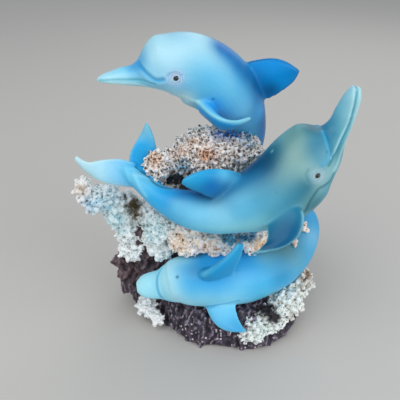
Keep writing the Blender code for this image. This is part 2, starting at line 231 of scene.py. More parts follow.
def searchTree(points):
    tree = KDTree(len(points))
    for index, point in enumerate(points):
        tree.insert(point, index)
    tree.balance()
    return tree


def indexesNear(points, coords, reach):  # the vertices in the points' box, widened by the reach
    cloud = np.array(points)
    low, high = cloud.min(0) - reach, cloud.max(0) + reach
    return np.nonzero(((coords > low) & (coords < high)).all(1))[0]


def distancesTo(points, coords, reach):  # from each vertex to the nearest point, up to the reach
    distances = np.full(len(coords), 1.0)
    tree = searchTree(points)
    for index in indexesNear(points, coords, reach):
        distances[index] = tree.find(coords[index])[2]
    return distances


def distancesFrom(spot, coords):  # in millimetres
    return np.linalg.norm(coords - np.array(spot), axis=1) / millimetre


def hill(distances, width, power=2):  # 1 at no distance, and falling to nothing past the width
    return np.exp(-(distances / width) ** power)


def grainAt(point, size):  # even noise with grains of this many millimetres
    return noise.noise(point / (size * millimetre))


def mixInto(colours, paint, weights):
    weights = np.clip(weights, 0, 1)[:, None]
    return colours * (1 - weights) + np.array(hexColour(paint)) * weights


def addPiece(name, mesh, material):
    mesh.name = name
    mesh.materials.clear()
    mesh.materials.append(material)
    mesh.shade_smooth()
    piece = addObject(name, mesh)
    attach(piece, "root")
    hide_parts(castNode)


# Dolphins. Spine: place, direction that the back faces. Profile: distance from the beak tip, half
# width, height above the spine, depth below it. Paint: distance from the beak tip, colours of the
# back, the flank and the belly. Fins: thickness, leading edge, trailing edge, then the colours of
# root, middle, tip and rim, the rim being mostly a painted highlight along the fin's edges. Lines,
# sprays, dents and eyes are placed by a pixel of the 400 pixel picture. Lines: grooves painted
# darker as painted shade and ridges painted paler as painted highlights. Sprays: pixel, radius,
# colour, strength; mostly airbrushed paint, some of them painted highlights and painted shade.
# Dents: pixel, radius, depth, colour.
bodyQuality = {
    "ringSides": 40,
    "ringStep": 1.6,
    "spineSteps": 12,
    "voxel": 0.00068,
    "smoothTimes": 4,
    "rootFilletReach": 0.0030,
    "filletStart": 1.3,  # in reaches
    "filletTimes": 14,
    "finBlend": (-0.0010, 0.0016),  # where the body's paint turns into the fin's
    "backEdge": (0.15, 0.90),  # sine of the angle where flank turns to back, and to belly
    "bellyEdge": (-0.15, -0.85),
    "lineSteps": 10,
    "lineReach": 0.004,
    "lipOffset": 2.1,  # in line widths
    "lineBleed": 1.15,
    "dentStrength": 0.9,
    "lastSmoothing": 0.35,
    "glaze": (1.20, 0.95, 1.0),  # the blue lacquer swallows red and lets green through
}
eyeSettings = {  # reaches and widths in millimetres, depths in metres
    "reach": 9, "wander": 0.7, "wanderSize": 2.2,
    "fadeReach": 4.6, "fadeLevel": 0.75, "fadeWander": 0.6,
    "patchReach": 3.8, "patchStrength": 0.30,
    "grooveWidth": 0.38, "grooveDepth": 0.0003, "grooveColour": "#5C7CBC", "grooveStrength": 0.75,
    "crestWidth": 0.35, "crestShift": 0.6, "crestColour": "#FAF6FF", "crestStrength": 0.70,
    "socketWidth": 1.5, "socketDepth": 0.0005, "socketColour": "#0B0C12", "socketEdge": (1.75, 1.25),
    "beadSink": 0.55, "beadFlat": 0.9,
}
topFlipperColours = ("#3799DA", "#2C86CC", "#5FA6D8", "#9BD6E6")
middleFlipperColours = ("#2E7CA6", "#04507E", "#0A5480", "#8CBCD0")
lowerFlipperColours = ("#63BCEE", "#5FB4EA", "#4FA0DC", "#8CD0F0")
backFlukeColours = ("#4FB0EE", "#8CCEF0", "#C4E6F2", "#DCF2F8")

topDolphin = {
    "name": "topDolphin",
    "sprayBothSides": True,
    "spine": [
        ((-65.2, -12, 170.9), (0, 0, 1)), ((-52.5, -9, 172), (0, 0, 1)),
        ((-43, -6.5, 172.6), (0, 0, 1)), ((-32.8, -4.5, 173.6), (0.05, 0, 1)),
        ((-24.3, -3, 174.3), (0.1, 0, 1)), ((-12.8, 0, 173.5), (0.3, 0, 1)),
        ((0.7, 4, 166.6), (0.6, 0, 0.9)), ((11.4, 9, 155), (0.9, 0, 0.5)),
        ((18.5, 16, 139.4), (1, 0, 0.3)), ((21.6, 23, 120.6), (1, 0.1, 0.1)),
        ((19.4, 30, 101.1), (1, 0.3, 0)), ((12, 37, 85), (0.8, 0.6, -0.2)),
        ((-1, 40, 72), (0.3, 0.9, -0.3)), ((-17, 38, 66), (-0.1, 1, -0.2)),
        ((-31, 33, 67), (-0.3, 1, 0)),
    ],
    "profile": [
        (0, 1.5, 1, 0.8), (3, 4, 2.4, 1.8), (8, 5.2, 3.6, 3), (14, 6.2, 5, 4.8), (23, 7.6, 6.6, 6.8),
        (25, 8.6, 8.2, 7.2), (28, 11, 13, 8), (33, 13.8, 18.5, 9.5), (42, 16.6, 20.4, 14.2),
        (54, 18.6, 20.8, 19.5), (70, 19.2, 20.3, 20.5), (88, 17.8, 18.6, 18.6),
        (106, 15.6, 16.2, 16.2), (128, 12.8, 14, 14), (150, 10, 11.5, 11.5),
        (176, 6.8, 8.6, 8.6), (202, 4.4, 5.7, 5.7), (220, 2.4, 3.2, 3.2),
    ],
    "paint": [
        (0, "#BDE6F7", "#C6ECF8", "#BFE6F2"), (15, "#9AD6F5", "#B5E3F7", "#BFE6F2"),
        (24, "#3F9EDC", "#8CCDF0", "#A9DCEE"), (32, "#A9DAF2", "#86CAF2", "#A9DCEE"),
        (45, "#C4E7F6", "#86C6EC", "#A0D6EC"), (60, "#B4DCF0", "#7CC4EC", "#9BD2EA"),
        (75, "#3C97DA", "#8FD0F2", "#8CC8E6"), (90, "#0F6FC2", "#86C8F0", "#7DBCE0"),
        (105, "#0659A2", "#6FB4E6", "#74B0D8"), (130, "#1B6FB4", "#5F9FD2", "#6EA8D0"),
        (160, "#2A7FC0", "#5A9ACB", "#6AA3CB"), (220, "#1C6FB4", "#4A97D0", "#8CC4E2"),
    ],
    "fins": {
        "dorsal": (7.0, [
            (8, 8, 172), (22, 8, 176), (35, 8, 178), (44, 8, 176), (52, 8, 171),
        ], [
            (20, 12, 147.5), (35.5, 11, 152), (44, 9, 158), (50, 8, 164), (52.5, 8, 170),
        ], ("#1C8CDC", "#1490E2", "#0F78C4", "#0A5A92")),
        "leftFlipper": (5.5, [
            (-8, -13, 161), (-1, -19, 156), (7, -18, 150), (15, -14, 147), (23, -8, 147),
        ], [
            (3, -8, 143), (4, -14, 142), (9, -14, 141), (15, -11, 142), (23, -7, 146),
        ], topFlipperColours),
        "rightFlipper": (5.5, [
            (-8, 14, 160), (-4, 22, 153), (3, 28, 146), (11, 33, 141), (19, 35, 137),
        ], [
            (5, 12, 143), (7, 20, 141), (10, 27, 139), (14, 31, 138), (19, 35, 136),
        ], topFlipperColours),
        "upperFluke": (6.0, [
            (-20, 38, 68), (-26, 38, 76), (-33, 36, 84), (-41, 33, 89),
        ], [
            (-36, 32, 66), (-39, 33, 73), (-41, 34, 80), (-42, 33, 88),
        ], backFlukeColours),
        "lowerFluke": (6.0, [
            (-20, 38, 64), (-28, 39, 56), (-36, 38, 49), (-44, 35, 44),
        ], [
            (-36, 32, 66), (-41, 34, 59), (-44, 35, 52), (-45, 35, 45),
        ], backFlukeColours),
    },
    "lines": [
        # Painted shade in the mouth groove.
        {"pixels": [(99, 80.5), (108, 80.2), (120, 79.8), (132, 79.8), (143, 80.6), (155, 84)],
         "width": 0.7, "depth": 0.45, "colour": "#3D93AE", "strength": 0.55},
        # The crease before the melon: blue airbrush, darkened as painted shade in the crease.
        {"pixels": [(138, 63), (142, 69), (148, 75), (156, 80.5), (163, 80)],
         "width": 1.1, "depth": 0.75, "colour": "#3C9FE0", "strength": 0.75, "lip": 0.30},
        # A painted highlight along the jaw's ridge.
        {"pixels": [(97.5, 82), (110, 83), (120, 83.6), (135, 83.8), (145, 86), (157, 91), (168, 96),
                    (180, 98), (190, 99.5), (198, 102)],
         "width": 1.0, "depth": -0.35, "colour": "#C9F2F4", "strength": 0.8},
        # Painted shade in the crease over the eye.
        {"pixels": [(167, 76), (171, 73.6), (177, 73.2), (181, 75.5)],
         "width": 0.6, "depth": 0.35, "colour": "#7C9CD0", "strength": 0.7},
        # A painted highlight along the flipper's leading edge.
        {"pixels": [(198, 102), (202, 106), (207, 111), (214, 116), (222, 119.5), (231, 121),
                    (241, 120.5), (250, 118)],
         "width": 1.0, "depth": -0.3, "colour": "#A6E0EE", "strength": 0.8},
    ],
    "spraysAndPaintedLight": [
        (139, 64, 6.5, "#2C8FD8", 0.85), (176, 79, 7.5, "#A9BDEB", 0.70),
        (190, 88, 12, "#5CAEE4", 0.55), (196, 72, 10, "#6FBBE8", 0.45),
        (214, 106, 8, "#1E98F4", 0.90), (226, 112, 7, "#46A4E8", 0.65),
        (168, 60, 16, "#CBEAF7", 0.55), (221, 47, 7.5, "#0660B4", 0.95),
        (230, 54, 7, "#0A66B8", 0.92), (239, 65, 7, "#0A66B2", 0.92), (247, 75, 7, "#065CA4", 0.92),
        (255, 86, 7, "#034C8E", 0.95), (260, 97, 6.5, "#06529A", 0.88),
        (259, 112, 8, "#5CAEEC", 0.75), (270, 91, 6, "#0C5592", 0.80),
        (215, 82, 10, "#64B9EA", 0.45), (236, 98, 11, "#74BEF0", 0.55),
        # The pale sprays at (185, 97) and (172, 92) are painted light on the shaded throat.
        (244, 108, 8, "#8CC4F2", 0.45), (178, 35, 9, "#9CC8E6", 0.60), (185, 97, 6, "#D4F4FF", 0.90),
        (172, 92, 5, "#BCE8F8", 0.65),
    ],
    "dents": [((213, 99.5), 0.8, 0.5, "#1D5FA0")],
    "eye": {"pixel": (176, 78.5), "bead": 1.45, "rings": (2.7, 3.9, 5.2), "sheet": "#DCDDF2",
            "show": 0.9},
}

middleDolphin = {
    "name": "middleDolphin",
    "sprayBothSides": False,
    "spine": [
        ((75.4, -35, 174.3), (-0.8, -0.1, 0.4)), ((72.1, -34, 161.8), (-0.8, -0.1, 0.4)),
        ((68.4, -33, 149.9), (-0.8, -0.1, 0.5)), ((62.4, -33, 139.7), (-0.8, -0.1, 0.6)),
        ((51.7, -33, 128.5), (-0.7, -0.1, 0.7)), ((41.4, -35, 117.3), (-0.6, -0.2, 0.8)),
        ((28.7, -39, 110.3), (-0.4, -0.3, 0.9)), ((14.9, -42, 106.1), (-0.2, -0.4, 0.9)),
        ((-0.1, -43, 102.7), (0, -0.4, 0.9)), ((-15.1, -42, 104.7), (0.1, -0.5, 0.8)),
        ((-28.4, -38, 108.4), (0.2, -0.5, 0.8)), ((-37.9, -33, 113), (0.2, -0.6, 0.7)),
        ((-45.8, -28, 117.6), (0.1, -0.7, 0.7)), ((-51.9, -24, 120.9), (0.1, -0.7, 0.7)),
    ],
    "profile": [
        (0, 2.4, 2.3, 2.3), (3, 4.2, 3.8, 3.8), (13, 5.6, 5.8, 5.8), (25, 6.6, 7, 7), (29, 8, 9, 7.8),
        (33, 11, 17.2, 9.6), (37, 14, 20, 12.5), (45, 17, 21.4, 17.5), (53, 19, 21.5, 21.8),
        (68, 20.5, 21.2, 24), (83, 19.5, 19.5, 21), (98, 16, 16.5, 16), (114, 12.5, 12, 12.8),
        (129, 10.5, 11.4, 11.8), (143, 7.8, 7.8, 7.8), (155, 5.6, 5.8, 5.8), (165, 4.6, 4.8, 4.8),
        (173, 3.6, 3.6, 3.6),
    ],
    # The grey rows from 36 to 50 mm are painted shade on the head, turned away from the light, over pale
    # paint.
    "paint": [
        (0, "#A9D2E6", "#B2D6E4", "#BEE2EE"), (15, "#7CB2CC", "#94C0D2", "#B4D8E4"),
        (28, "#2A7CAE", "#5C9CBC", "#A0C6D6"), (36, "#86AEBC", "#94B8C2", "#92B8C6"),
        (50, "#8FB6C0", "#B3CBCE", "#7FB0C8"), (62, "#2C7FB4", "#A9C8CE", "#6FA8C6"),
        (75, "#0B68AE", "#9CC5D2", "#5E9FC4"), (90, "#0A72C2", "#8FC9DC", "#6DB2D2"),
        (105, "#0F84DA", "#92D2E8", "#7CC4DF"), (120, "#1E8FE2", "#7FCBF0", "#A2E2F4"),
        (135, "#2B97E6", "#5AB6F0", "#A6E4F6"), (150, "#5CBBF2", "#4FB4F0", "#9FDDF4"),
        (165, "#7CCBF4", "#62BEF2", "#9BD8F0"), (175, "#7CCBF4", "#62BEF2", "#9BD8F0"),
    ],
    "fins": {
        "dorsal": (7.0, [
            (22, -34, 121), (11, -40, 128), (-1, -44, 131), (-10, -47, 130), (-16, -48, 127),
        ], [
            (2, -46, 112), (-2, -50, 116), (-8, -50, 119), (-14, -49, 121.5), (-17.5, -48, 124),
        ], ("#2484C8", "#2E9EDE", "#4AB2EA", "#4AACE2")),
        "rightFlipper": (5.5, [
            (46, -48, 115), (50, -58, 110), (48, -64, 102), (41, -67, 96), (29, -68, 91), (21, -67, 90),
        ], [
            (29, -50, 107), (30, -60, 100), (29, -64, 96), (26, -66, 94), (24, -67, 92), (20, -67, 90),
        ], middleFlipperColours),
        "leftFlipper": (5.5, [
            (52, -20, 108), (58, -15, 102), (60, -10, 94), (55, -6, 86), (48, -4, 80),
        ], [
            (36, -24, 100), (42, -16, 94), (45, -11, 89), (46, -7, 84), (47, -4, 80),
        ], middleFlipperColours),
        "leftFluke": (6.0, [
            (-40, -30, 111), (-54, -28, 111.5), (-66, -26, 113.5), (-74, -27, 120.5), (-79.5, -28, 129),
        ], [
            (-45, -23, 125), (-56, -22, 127), (-65, -24, 127), (-72, -27, 127), (-78.5, -28, 131.5),
        ], ("#3FA9F0", "#BCE4F8", "#C4DEE8", "#D4EEF4")),
        "rightFluke": (6.0, [
            (-30, -27, 109), (-31, -17, 116), (-33, -11, 127), (-35, -10, 137), (-38, -10, 144),
        ], [
            (-49, -24, 121), (-49, -18, 128), (-46, -13, 133), (-43, -10, 137), (-39, -10, 145),
        ], ("#2C9CE0", "#36A6E6", "#A6D2E0", "#7FC4E8")),
    },
    "lines": [
        # Painted shade in the mouth groove.
        {"pixels": [(356.5, 87), (355.8, 100), (353, 113), (348.5, 127), (342, 141), (334, 157),
                    (329, 166)],
         "width": 0.7, "depth": 0.8, "colour": "#2A7C96", "strength": 0.75},
        # A painted highlight on the lip beside it.
        {"pixels": [(353.6, 88), (353, 101), (350, 114), (345.5, 127), (339, 141), (331, 158)],
         "width": 0.7, "depth": -0.3, "colour": "#C2E6EF", "strength": 0.65},
        # A painted highlight along the jaw's edge.
        {"pixels": [(360.5, 90), (358.5, 106), (353.5, 122), (347, 138), (340.5, 154), (334, 170)],
         "width": 1.1, "depth": -0.2, "colour": "#BFE2EA", "strength": 0.60},
        # A painted highlight on the ridge at the melon's edge.
        {"pixels": [(318.5, 122), (322, 132), (326, 143), (328.5, 153), (327, 160), (322, 165)],
         "width": 0.9, "depth": -0.5, "colour": "#58ACDC", "strength": 0.65},
        # The crease before the melon: blue airbrush, darkened as painted shade in the crease.
        {"pixels": [(322, 122), (327, 134), (331, 146), (332.5, 156)],
         "width": 1.0, "depth": 0.8, "colour": "#2277A8", "strength": 0.60},
        # Painted shade in a crease on the head.
        {"pixels": [(334, 174), (331, 180), (325.5, 185.5), (319, 189.5), (314, 196), (309, 204),
                    (305, 212)],
         "width": 1.0, "depth": 0.7, "colour": "#2C5C76", "strength": 0.65},
        # A painted highlight on the ridge beside it.
        {"pixels": [(334, 183), (331, 191), (327, 199), (322, 207)],
         "width": 1.2, "depth": -0.2, "colour": "#9CC8D4", "strength": 0.6},
        # Painted shade in a small crease by the eye.
        {"pixels": [(308, 170), (306, 175), (308, 182)],
         "width": 0.7, "depth": 0.35, "colour": "#5B8796", "strength": 0.55},
        # A painted highlight along a ridge at the tail.
        {"pixels": [(127, 160), (134, 174), (140, 188), (146, 196)],
         "width": 1.1, "depth": -0.35, "colour": "#9FD9F6", "strength": 0.65},
        # A painted shadow: the dark gap between the tail stock and the fluke behind it.
        {"pixels": [(129, 161), (136, 167), (142, 172), (148, 176), (153, 181.5), (160, 186),
                    (170, 188.5)],
         "width": 0.8, "depth": 0.5, "colour": "#123C66", "strength": 0.8, "oneSide": True},
        # A painted highlight along another ridge at the tail.
        {"pixels": [(122.5, 160), (126, 171), (129, 181)],
         "width": 1.0, "depth": -0.3, "colour": "#8CCFF6", "strength": 0.5},
        # A painted highlight along the lower edge of the head and flipper.
        {"pixels": [(302, 212), (303, 220), (301.5, 229), (296.5, 238), (285.5, 246), (269, 250.8),
                    (257, 252.2)],
         "width": 0.6, "depth": -0.2, "colour": "#9CC8DA", "strength": 0.65, "oneSide": True},
    ],
    "spraysAndPaintedLight": [
        # The grey sprays on the head, at (296, 152), (280, 180) and (292, 135), are painted shade of a
        # head turned from the light.
        (296, 152, 15, "#9CAEAA", 0.85), (280, 180, 12, "#9AB2B2", 0.65),
        (312, 129, 7, "#2C5870", 0.88), (318, 146, 8, "#3A76A0", 0.80),
        (322, 160, 6, "#5A92B4", 0.60), (331, 136, 5, "#2F7098", 0.60),
        (292, 135, 7, "#6A8C92", 0.55), (276, 150, 7, "#3F7690", 0.60),
        (306, 187, 7, "#2E6480", 0.80), (297, 196, 8, "#2C6E92", 0.70),
        (287, 204, 8, "#2C78A2", 0.65), (274, 211, 8, "#3884AC", 0.60),
        (314, 205, 10, "#345E6E", 0.75), (331, 184, 6, "#54869C", 0.75),
        (340, 150, 7, "#4A788E", 0.85), (347, 130, 6, "#7CA8BA", 0.60),
        (289, 230, 7, "#03588A", 0.88), (279, 238, 6, "#06588A", 0.60),
        (250, 170, 12, "#04406E", 0.95), (268, 157, 8, "#08486E", 0.85),
        (260, 168, 9, "#043E6A", 0.90), (254, 180, 8, "#05508A", 0.90),
        (246, 189, 7, "#0862A8", 0.80), (232, 188, 9, "#075494", 0.85),
        (216, 198, 8, "#044682", 0.94), (200, 197, 9, "#03437E", 0.95),
        (182, 196, 8, "#065CA8", 0.90), (168, 193, 6, "#1F8FDC", 0.60),
        (160, 193, 7, "#38ABED", 0.60), (262, 196, 11, "#6BA6C2", 0.60),
        # The pale sprays from (243, 205) to (176, 208) make a painted highlight band along the lower
        # flank.
        (243, 205, 9, "#7CC2E2", 0.70), (222, 215, 8, "#A2DAF4", 0.75),
        (210, 216, 6, "#A0DAF4", 0.55), (198, 215, 7, "#98D6F6", 0.70),
        (187, 212, 6, "#92D4F6", 0.55), (176, 208, 6, "#8CD2F6", 0.60),
        # The pale spray at (224, 172) is a painted highlight on the dorsal fin.
        (145, 180, 6, "#7CBCE4", 0.50), (224, 172, 5, "#6CC0EE", 0.80),
        (234, 176, 5, "#4C9ED0", 0.70), (212, 188, 5, "#0A66B4", 0.80),
    ],
    "dents": [((272, 151), 1.0, 0.45, "#7FB2BE"), ((276, 193), 0.55, 0.4, "#6E8E98"),
              ((327, 152), 0.7, 0.3, "#3F7F92")],
    "eye": {"pixel": (318, 176), "bead": 1.5, "rings": (2.6, 3.8, 5.0), "sheet": "#A8AEBE",
            "show": 0.5},
}

lowerDolphin = {
    "name": "lowerDolphin",
    "sprayBothSides": False,
    "spine": [
        ((-48, -33, 40), (0, -0.7, 0.7)), ((-41, -33, 41), (0, -0.7, 0.7)),
        ((-34, -33, 42), (0, -0.7, 0.7)), ((-26, -32, 43), (0, -0.7, 0.7)),
        ((-19, -32, 45), (0, -0.7, 0.7)), ((-6, -32, 46), (0, -0.7, 0.7)),
        ((6, -31, 47), (0, -0.7, 0.7)), ((21, -28, 45), (0.2, -0.7, 0.7)),
        ((34, -22, 44), (0.3, -0.7, 0.6)), ((47, -14, 45), (0.5, -0.7, 0.5)),
        ((58, -5, 49), (0.8, -0.6, 0.3)), ((65, 4, 55), (1, -0.3, 0.2)),
        ((67, 16, 61), (1, 0, 0.2)), ((61, 31, 65), (0.9, 0.4, 0.2)),
        ((47, 43, 65), (0.6, 0.8, 0.2)), ((29, 50, 62), (0.2, 1, 0.2)), ((12, 53, 58), (0, 1, 0.2)),
    ],
    "profile": [
        (0, 3.5, 2, 2), (3, 6.6, 3.6, 3.2), (7, 8.2, 4.8, 4.4), (13, 9.2, 6, 5.5), (15.5, 9.6, 7.5, 6),
        (18, 11, 10.5, 7.5), (22, 12.8, 13, 10), (30, 15.4, 15.6, 14), (43, 17.6, 18, 17.5),
        (54, 18.6, 18.8, 18.5), (70, 17.6, 18, 18), (84, 16, 16.5, 16.5), (100, 14.8, 15, 15),
        (114, 12.5, 12.8, 12.8), (127, 10.2, 10.5, 10.5), (138, 9.4, 9.4, 9.4), (160, 7.2, 7.4, 7.4),
        (180, 5.4, 5.6, 5.6), (200, 2.6, 3, 3),
    ],
    "paint": [
        (0, "#BEEFFC", "#B5E9FA", "#A9E0F2"), (13, "#A6E0F8", "#A9E2F8", "#A4DCF0"),
        (17, "#98DAF6", "#A4E0F8", "#A4DEF2"), (24, "#BEEAFC", "#B4E6FA", "#A4DCF0"),
        (34, "#A4DEFA", "#B6E8FA", "#9CD8EE"), (44, "#48ACF2", "#A2DEF8", "#90CEEA"),
        (60, "#2F97E6", "#88CFF2", "#7DC0E2"), (80, "#4AAEEE", "#85CCF0", "#7ABCE0"),
        (100, "#5FB4EC", "#7CC4EE", "#70B4DC"), (125, "#58A6DA", "#62B0E4", "#5FA6D2"),
        (150, "#4C98D2", "#4FA2E2", "#5FA6D2"), (200, "#3C90D6", "#54ACE8", "#7FC6EC"),
    ],
    "fins": {
        "dorsal": (7.0, [
            (-9, -40, 56), (-6, -50, 63), (0, -53, 70), (8, -52, 77), (15, -49, 85),
        ], [
            (14, -38, 55), (14, -46, 62), (15, -49, 69), (17.5, -49, 76), (19, -48, 83.5),
        ], ("#2B92D4", "#2A96D6", "#3CA6E0", "#7CCBF0")),
        "leftFlipper": (5.5, [
            (-5, -38, 37), (-3, -45, 32), (2, -53, 27), (10, -58, 25), (21, -60, 26),
        ], [
            (17, -36, 38), (16, -45, 34), (17, -51, 31), (19, -56, 29), (22, -60, 27),
        ], lowerFlipperColours),
        "rightFlipper": (5.5, [
            (-5, -22, 56), (-3, -16, 62), (2, -12, 67), (10, -10, 70), (18, -10, 72),
        ], [
            (14, -22, 56), (14, -17, 61), (15, -13, 65), (17, -11, 69), (19, -10, 71),
        ], lowerFlipperColours),
        "upperFluke": (6.0, [
            (20, 52, 62), (14, 54, 71), (6, 55, 79), (-4, 55, 85),
        ], [
            (4, 53, 58), (0, 54, 68), (-2, 55, 76), (-5, 55, 84),
        ], backFlukeColours),
        "lowerFluke": (6.0, [
            (20, 52, 56), (14, 54, 47), (6, 55, 39), (-4, 55, 33),
        ], [
            (4, 53, 57), (0, 54, 48), (-2, 55, 41), (-5, 55, 34),
        ], backFlukeColours),
    },
    "lines": [
        # Painted shade in the mouth groove.
        {"pixels": [(162, 268), (158, 274), (156.5, 282), (157.5, 290), (161.6, 297.7), (166, 299.5),
                    (176, 301.5), (188, 304), (203, 306), (220, 304.5), (238, 301)],
         "width": 0.8, "depth": 0.7, "colour": "#3F9CD6", "strength": 0.7, "lip": 0.2, "oneSide": True},
    ],
    "spraysAndPaintedLight": [
        (184, 272, 8, "#3C96DC", 0.60), (190, 285, 9, "#50B6F4", 0.60),
        (203, 288, 9, "#38A0EC", 0.60), (242, 289, 13, "#84D0F8", 0.65),
        (165, 280, 9, "#C6F2FF", 0.60), (196, 270, 7, "#2276B8", 0.50),
        (266, 258, 9, "#8CB6C8", 0.55), (286, 250, 14, "#74888C", 0.80),
        (299, 262, 8, "#78A8C0", 0.45), (280, 276, 9, "#3C8EC4", 0.60),
        (228, 302, 10, "#A4E0FA", 0.75), (205, 300, 9, "#A4E2FA", 0.60),
        (262, 292, 10, "#6CC4EE", 0.55), (222, 268, 8, "#2C92D6", 0.60),
        (312, 236, 8, "#94C2E8", 0.75),
    ],
    # The dent at (177, 277) is the blowhole; its near-black colour is painted shade in the hollow.
    "dents": [((177, 277), 0.9, 0.7, "#183858")],
    "eye": {"spine": (27, -0.95, -0.30), "bead": 1.3, "rings": (2.4, 3.5, 4.6), "sheet": "#C9DCEE",
            "show": 0.7},
}


def spineFrames(dolphin):  # distance, place, along, side and back, at close steps down the spine
    steps = bodyQuality["spineSteps"]
    centres = smoothCurve([Vector(place) * millimetre for place, back in dolphin["spine"]], steps)
    backs = smoothCurve([Vector(back) for place, back in dolphin["spine"]], steps)
    frames = []
    distance = 0.0
    for index, centre in enumerate(centres):
        before = centres[max(index - 1, 0)]
        after = centres[min(index + 1, len(centres) - 1)]
        if index:
            distance += (centre - before).length / millimetre
        along = (after - before).normalized()
        side = along.cross(backs[index]).normalized()
        frames.append((distance, centre, along, side, side.cross(along)))
    return frames


def profileAt(profile, distance):  # half width, height and depth at a distance from the beak tip
    rows = np.array(profile, float)
    distance = min(max(distance, rows[0, 0]), rows[-1, 0])
    index = min(int(np.searchsorted(rows[:, 0], distance, side="right")) - 1, len(rows) - 2)
    slopes = np.gradient(rows[:, 1:], rows[:, 0], axis=0)
    gap = rows[index + 1, 0] - rows[index, 0]
    t = (distance - rows[index, 0]) / gap
    start, end = rows[index, 1:], rows[index + 1, 1:]
    ease = 3 * t ** 2 - 2 * t ** 3
    leave = (t ** 3 - 2 * t ** 2 + t) * gap
    arrive = (t ** 3 - t ** 2) * gap
    return start * (1 - ease) + end * ease + slopes[index] * leave + slopes[index + 1] * arrive


def frameAt(frames, distance):
    index = max(1, min(int(np.searchsorted([f[0] for f in frames], distance)), len(frames) - 1))
    start, end = frames[index - 1], frames[index]
    share = (distance - start[0]) / (end[0] - start[0])
    return [start[i].lerp(end[i], share) for i in range(1, 5)]


def bodyShape(dolphin, frames):
    length = frames[-1][0]
    steps = int(length / bodyQuality["ringStep"])
    rings = []
    for step in range(steps + 1):
        distance = length * step / steps
        centre, along, side, back = frameAt(frames, distance)
        halfWidth, above, below = profileAt(dolphin["profile"], distance) * millimetre
        ring = []
        for corner in range(bodyQuality["ringSides"]):
            angle = math.tau * corner / bodyQuality["ringSides"]
            rise = math.sin(angle)
            ring.append(centre + side * (math.cos(angle) * halfWidth)
                        + back * (rise * (above if rise > 0 else below)))
        rings.append(ring)
    return loftRings(rings)


finSection = {
    "corners": 28,
    "steps": 6,
    "tipShare": 0.34,
    "edgeHalf": 0.00048,
    "fullness": 2.6,
    "chordLimit": 0.42,
    "rootFlare": 0.55,  # a fin swells where it leaves the body
    "flareReach": 0.14,
    "sampleSteps": 8,
    "rimStrength": 0.75,
    "rimReach": 0.0011,
    "paintReach": 0.008,
}


def finShape(thickness, leading, trailing):
    s = finSection
    fronts = smoothCurve([Vector(point) * millimetre for point in leading], s["steps"])
    rears = smoothCurve([Vector(point) * millimetre for point in trailing], s["steps"])
    rings = []
    samples = []  # places inside the fin with their share of its length and distance to its edges
    last = len(fronts) - 1
    for index, (front, rear) in enumerate(zip(fronts, rears)):
        share = index / last
        after, before = min(index + 1, last), max(index - 1, 0)
        span = fronts[after] + rears[after] - fronts[before] - rears[before]
        chord = rear - front
        across = chord.cross(span).normalized()
        half = 0.5 * thickness * millimetre * (1 - (1 - s["tipShare"]) * share)
        half *= 1 + s["rootFlare"] * math.exp(-(share / s["flareReach"]) ** 2)
        half = min(half, s["chordLimit"] * chord.length)
        ring = []
        for corner in range(s["corners"]):
            angle = math.tau * corner / s["corners"]
            along = 0.5 - 0.5 * math.cos(angle)
            bulge = s["fullness"] * math.sqrt(along) * (1 - along) * half
            edge = s["edgeHalf"] * math.sqrt(abs(math.sin(angle)))
            ring.append(front + chord * along + across * math.copysign(bulge + edge, math.sin(angle)))
        rings.append(ring)
        for step in range(s["sampleSteps"] + 1):
            inwards = min(step, s["sampleSteps"] - step) / s["sampleSteps"]
            samples.append((front + chord * (step / s["sampleSteps"]), share, inwards * chord.length))
    return loftRings(rings), samples


def castPixel(tree, px, py):  # where the line of sight through a pixel first meets the surface
    hit = tree.ray_cast(Vector(view["place"]), pixelRay(px, py))
    return hit[0]


def mirrored(frames, point):  # the same spot on the dolphin's other side
    nearest = min(frames, key=lambda f: (f[1] - point).length_squared)
    centre, side = nearest[1], nearest[3]
    return point - side * (2 * (point - centre).dot(side))


def surfaceLine(tree, frames, pixels, other):  # a curve on the surface through named pixels
    points = [castPixel(tree, px, py) for px, py in pixels]
    points = [point for point in points if point is not None]
    if len(points) < 2:
        return []
    if other:
        points = [mirrored(frames, point) for point in points]
    return [tree.find_nearest(point)[0] for point in smoothCurve(points, bodyQuality["lineSteps"])]


def bodyColours(dolphin, coords, frames):  # the airbrushed base coat: back, flank and belly
    tree = searchTree([f[1] for f in frames])
    nearest = np.array([tree.find(co)[1] for co in coords])
    distances = np.array([f[0] for f in frames])[nearest]
    centres = np.array([f[1] for f in frames])[nearest]
    alongs = np.array([f[2] for f in frames])[nearest]
    backs = np.array([f[4] for f in frames])[nearest]
    offsets = coords - centres
    distances = distances + (offsets * alongs).sum(1) / millimetre
    heights = (offsets * backs).sum(1)
    heights = heights / np.maximum(np.linalg.norm(offsets, axis=1), 1e-6)
    rows = dolphin["paint"]
    stations = [row[0] for row in rows]
    coats = []
    for column in (1, 2, 3):
        hues = np.array([hexColour(row[column]) for row in rows])
        coats.append(np.stack([np.interp(distances, stations, hues[:, i]) for i in range(3)], axis=1))
    onBack = smoothStep(*bodyQuality["backEdge"], heights)[:, None]
    onBelly = smoothStep(*bodyQuality["bellyEdge"], heights)[:, None]
    return coats[1] * (1 - onBack - onBelly) + coats[0] * onBack + coats[2] * onBelly


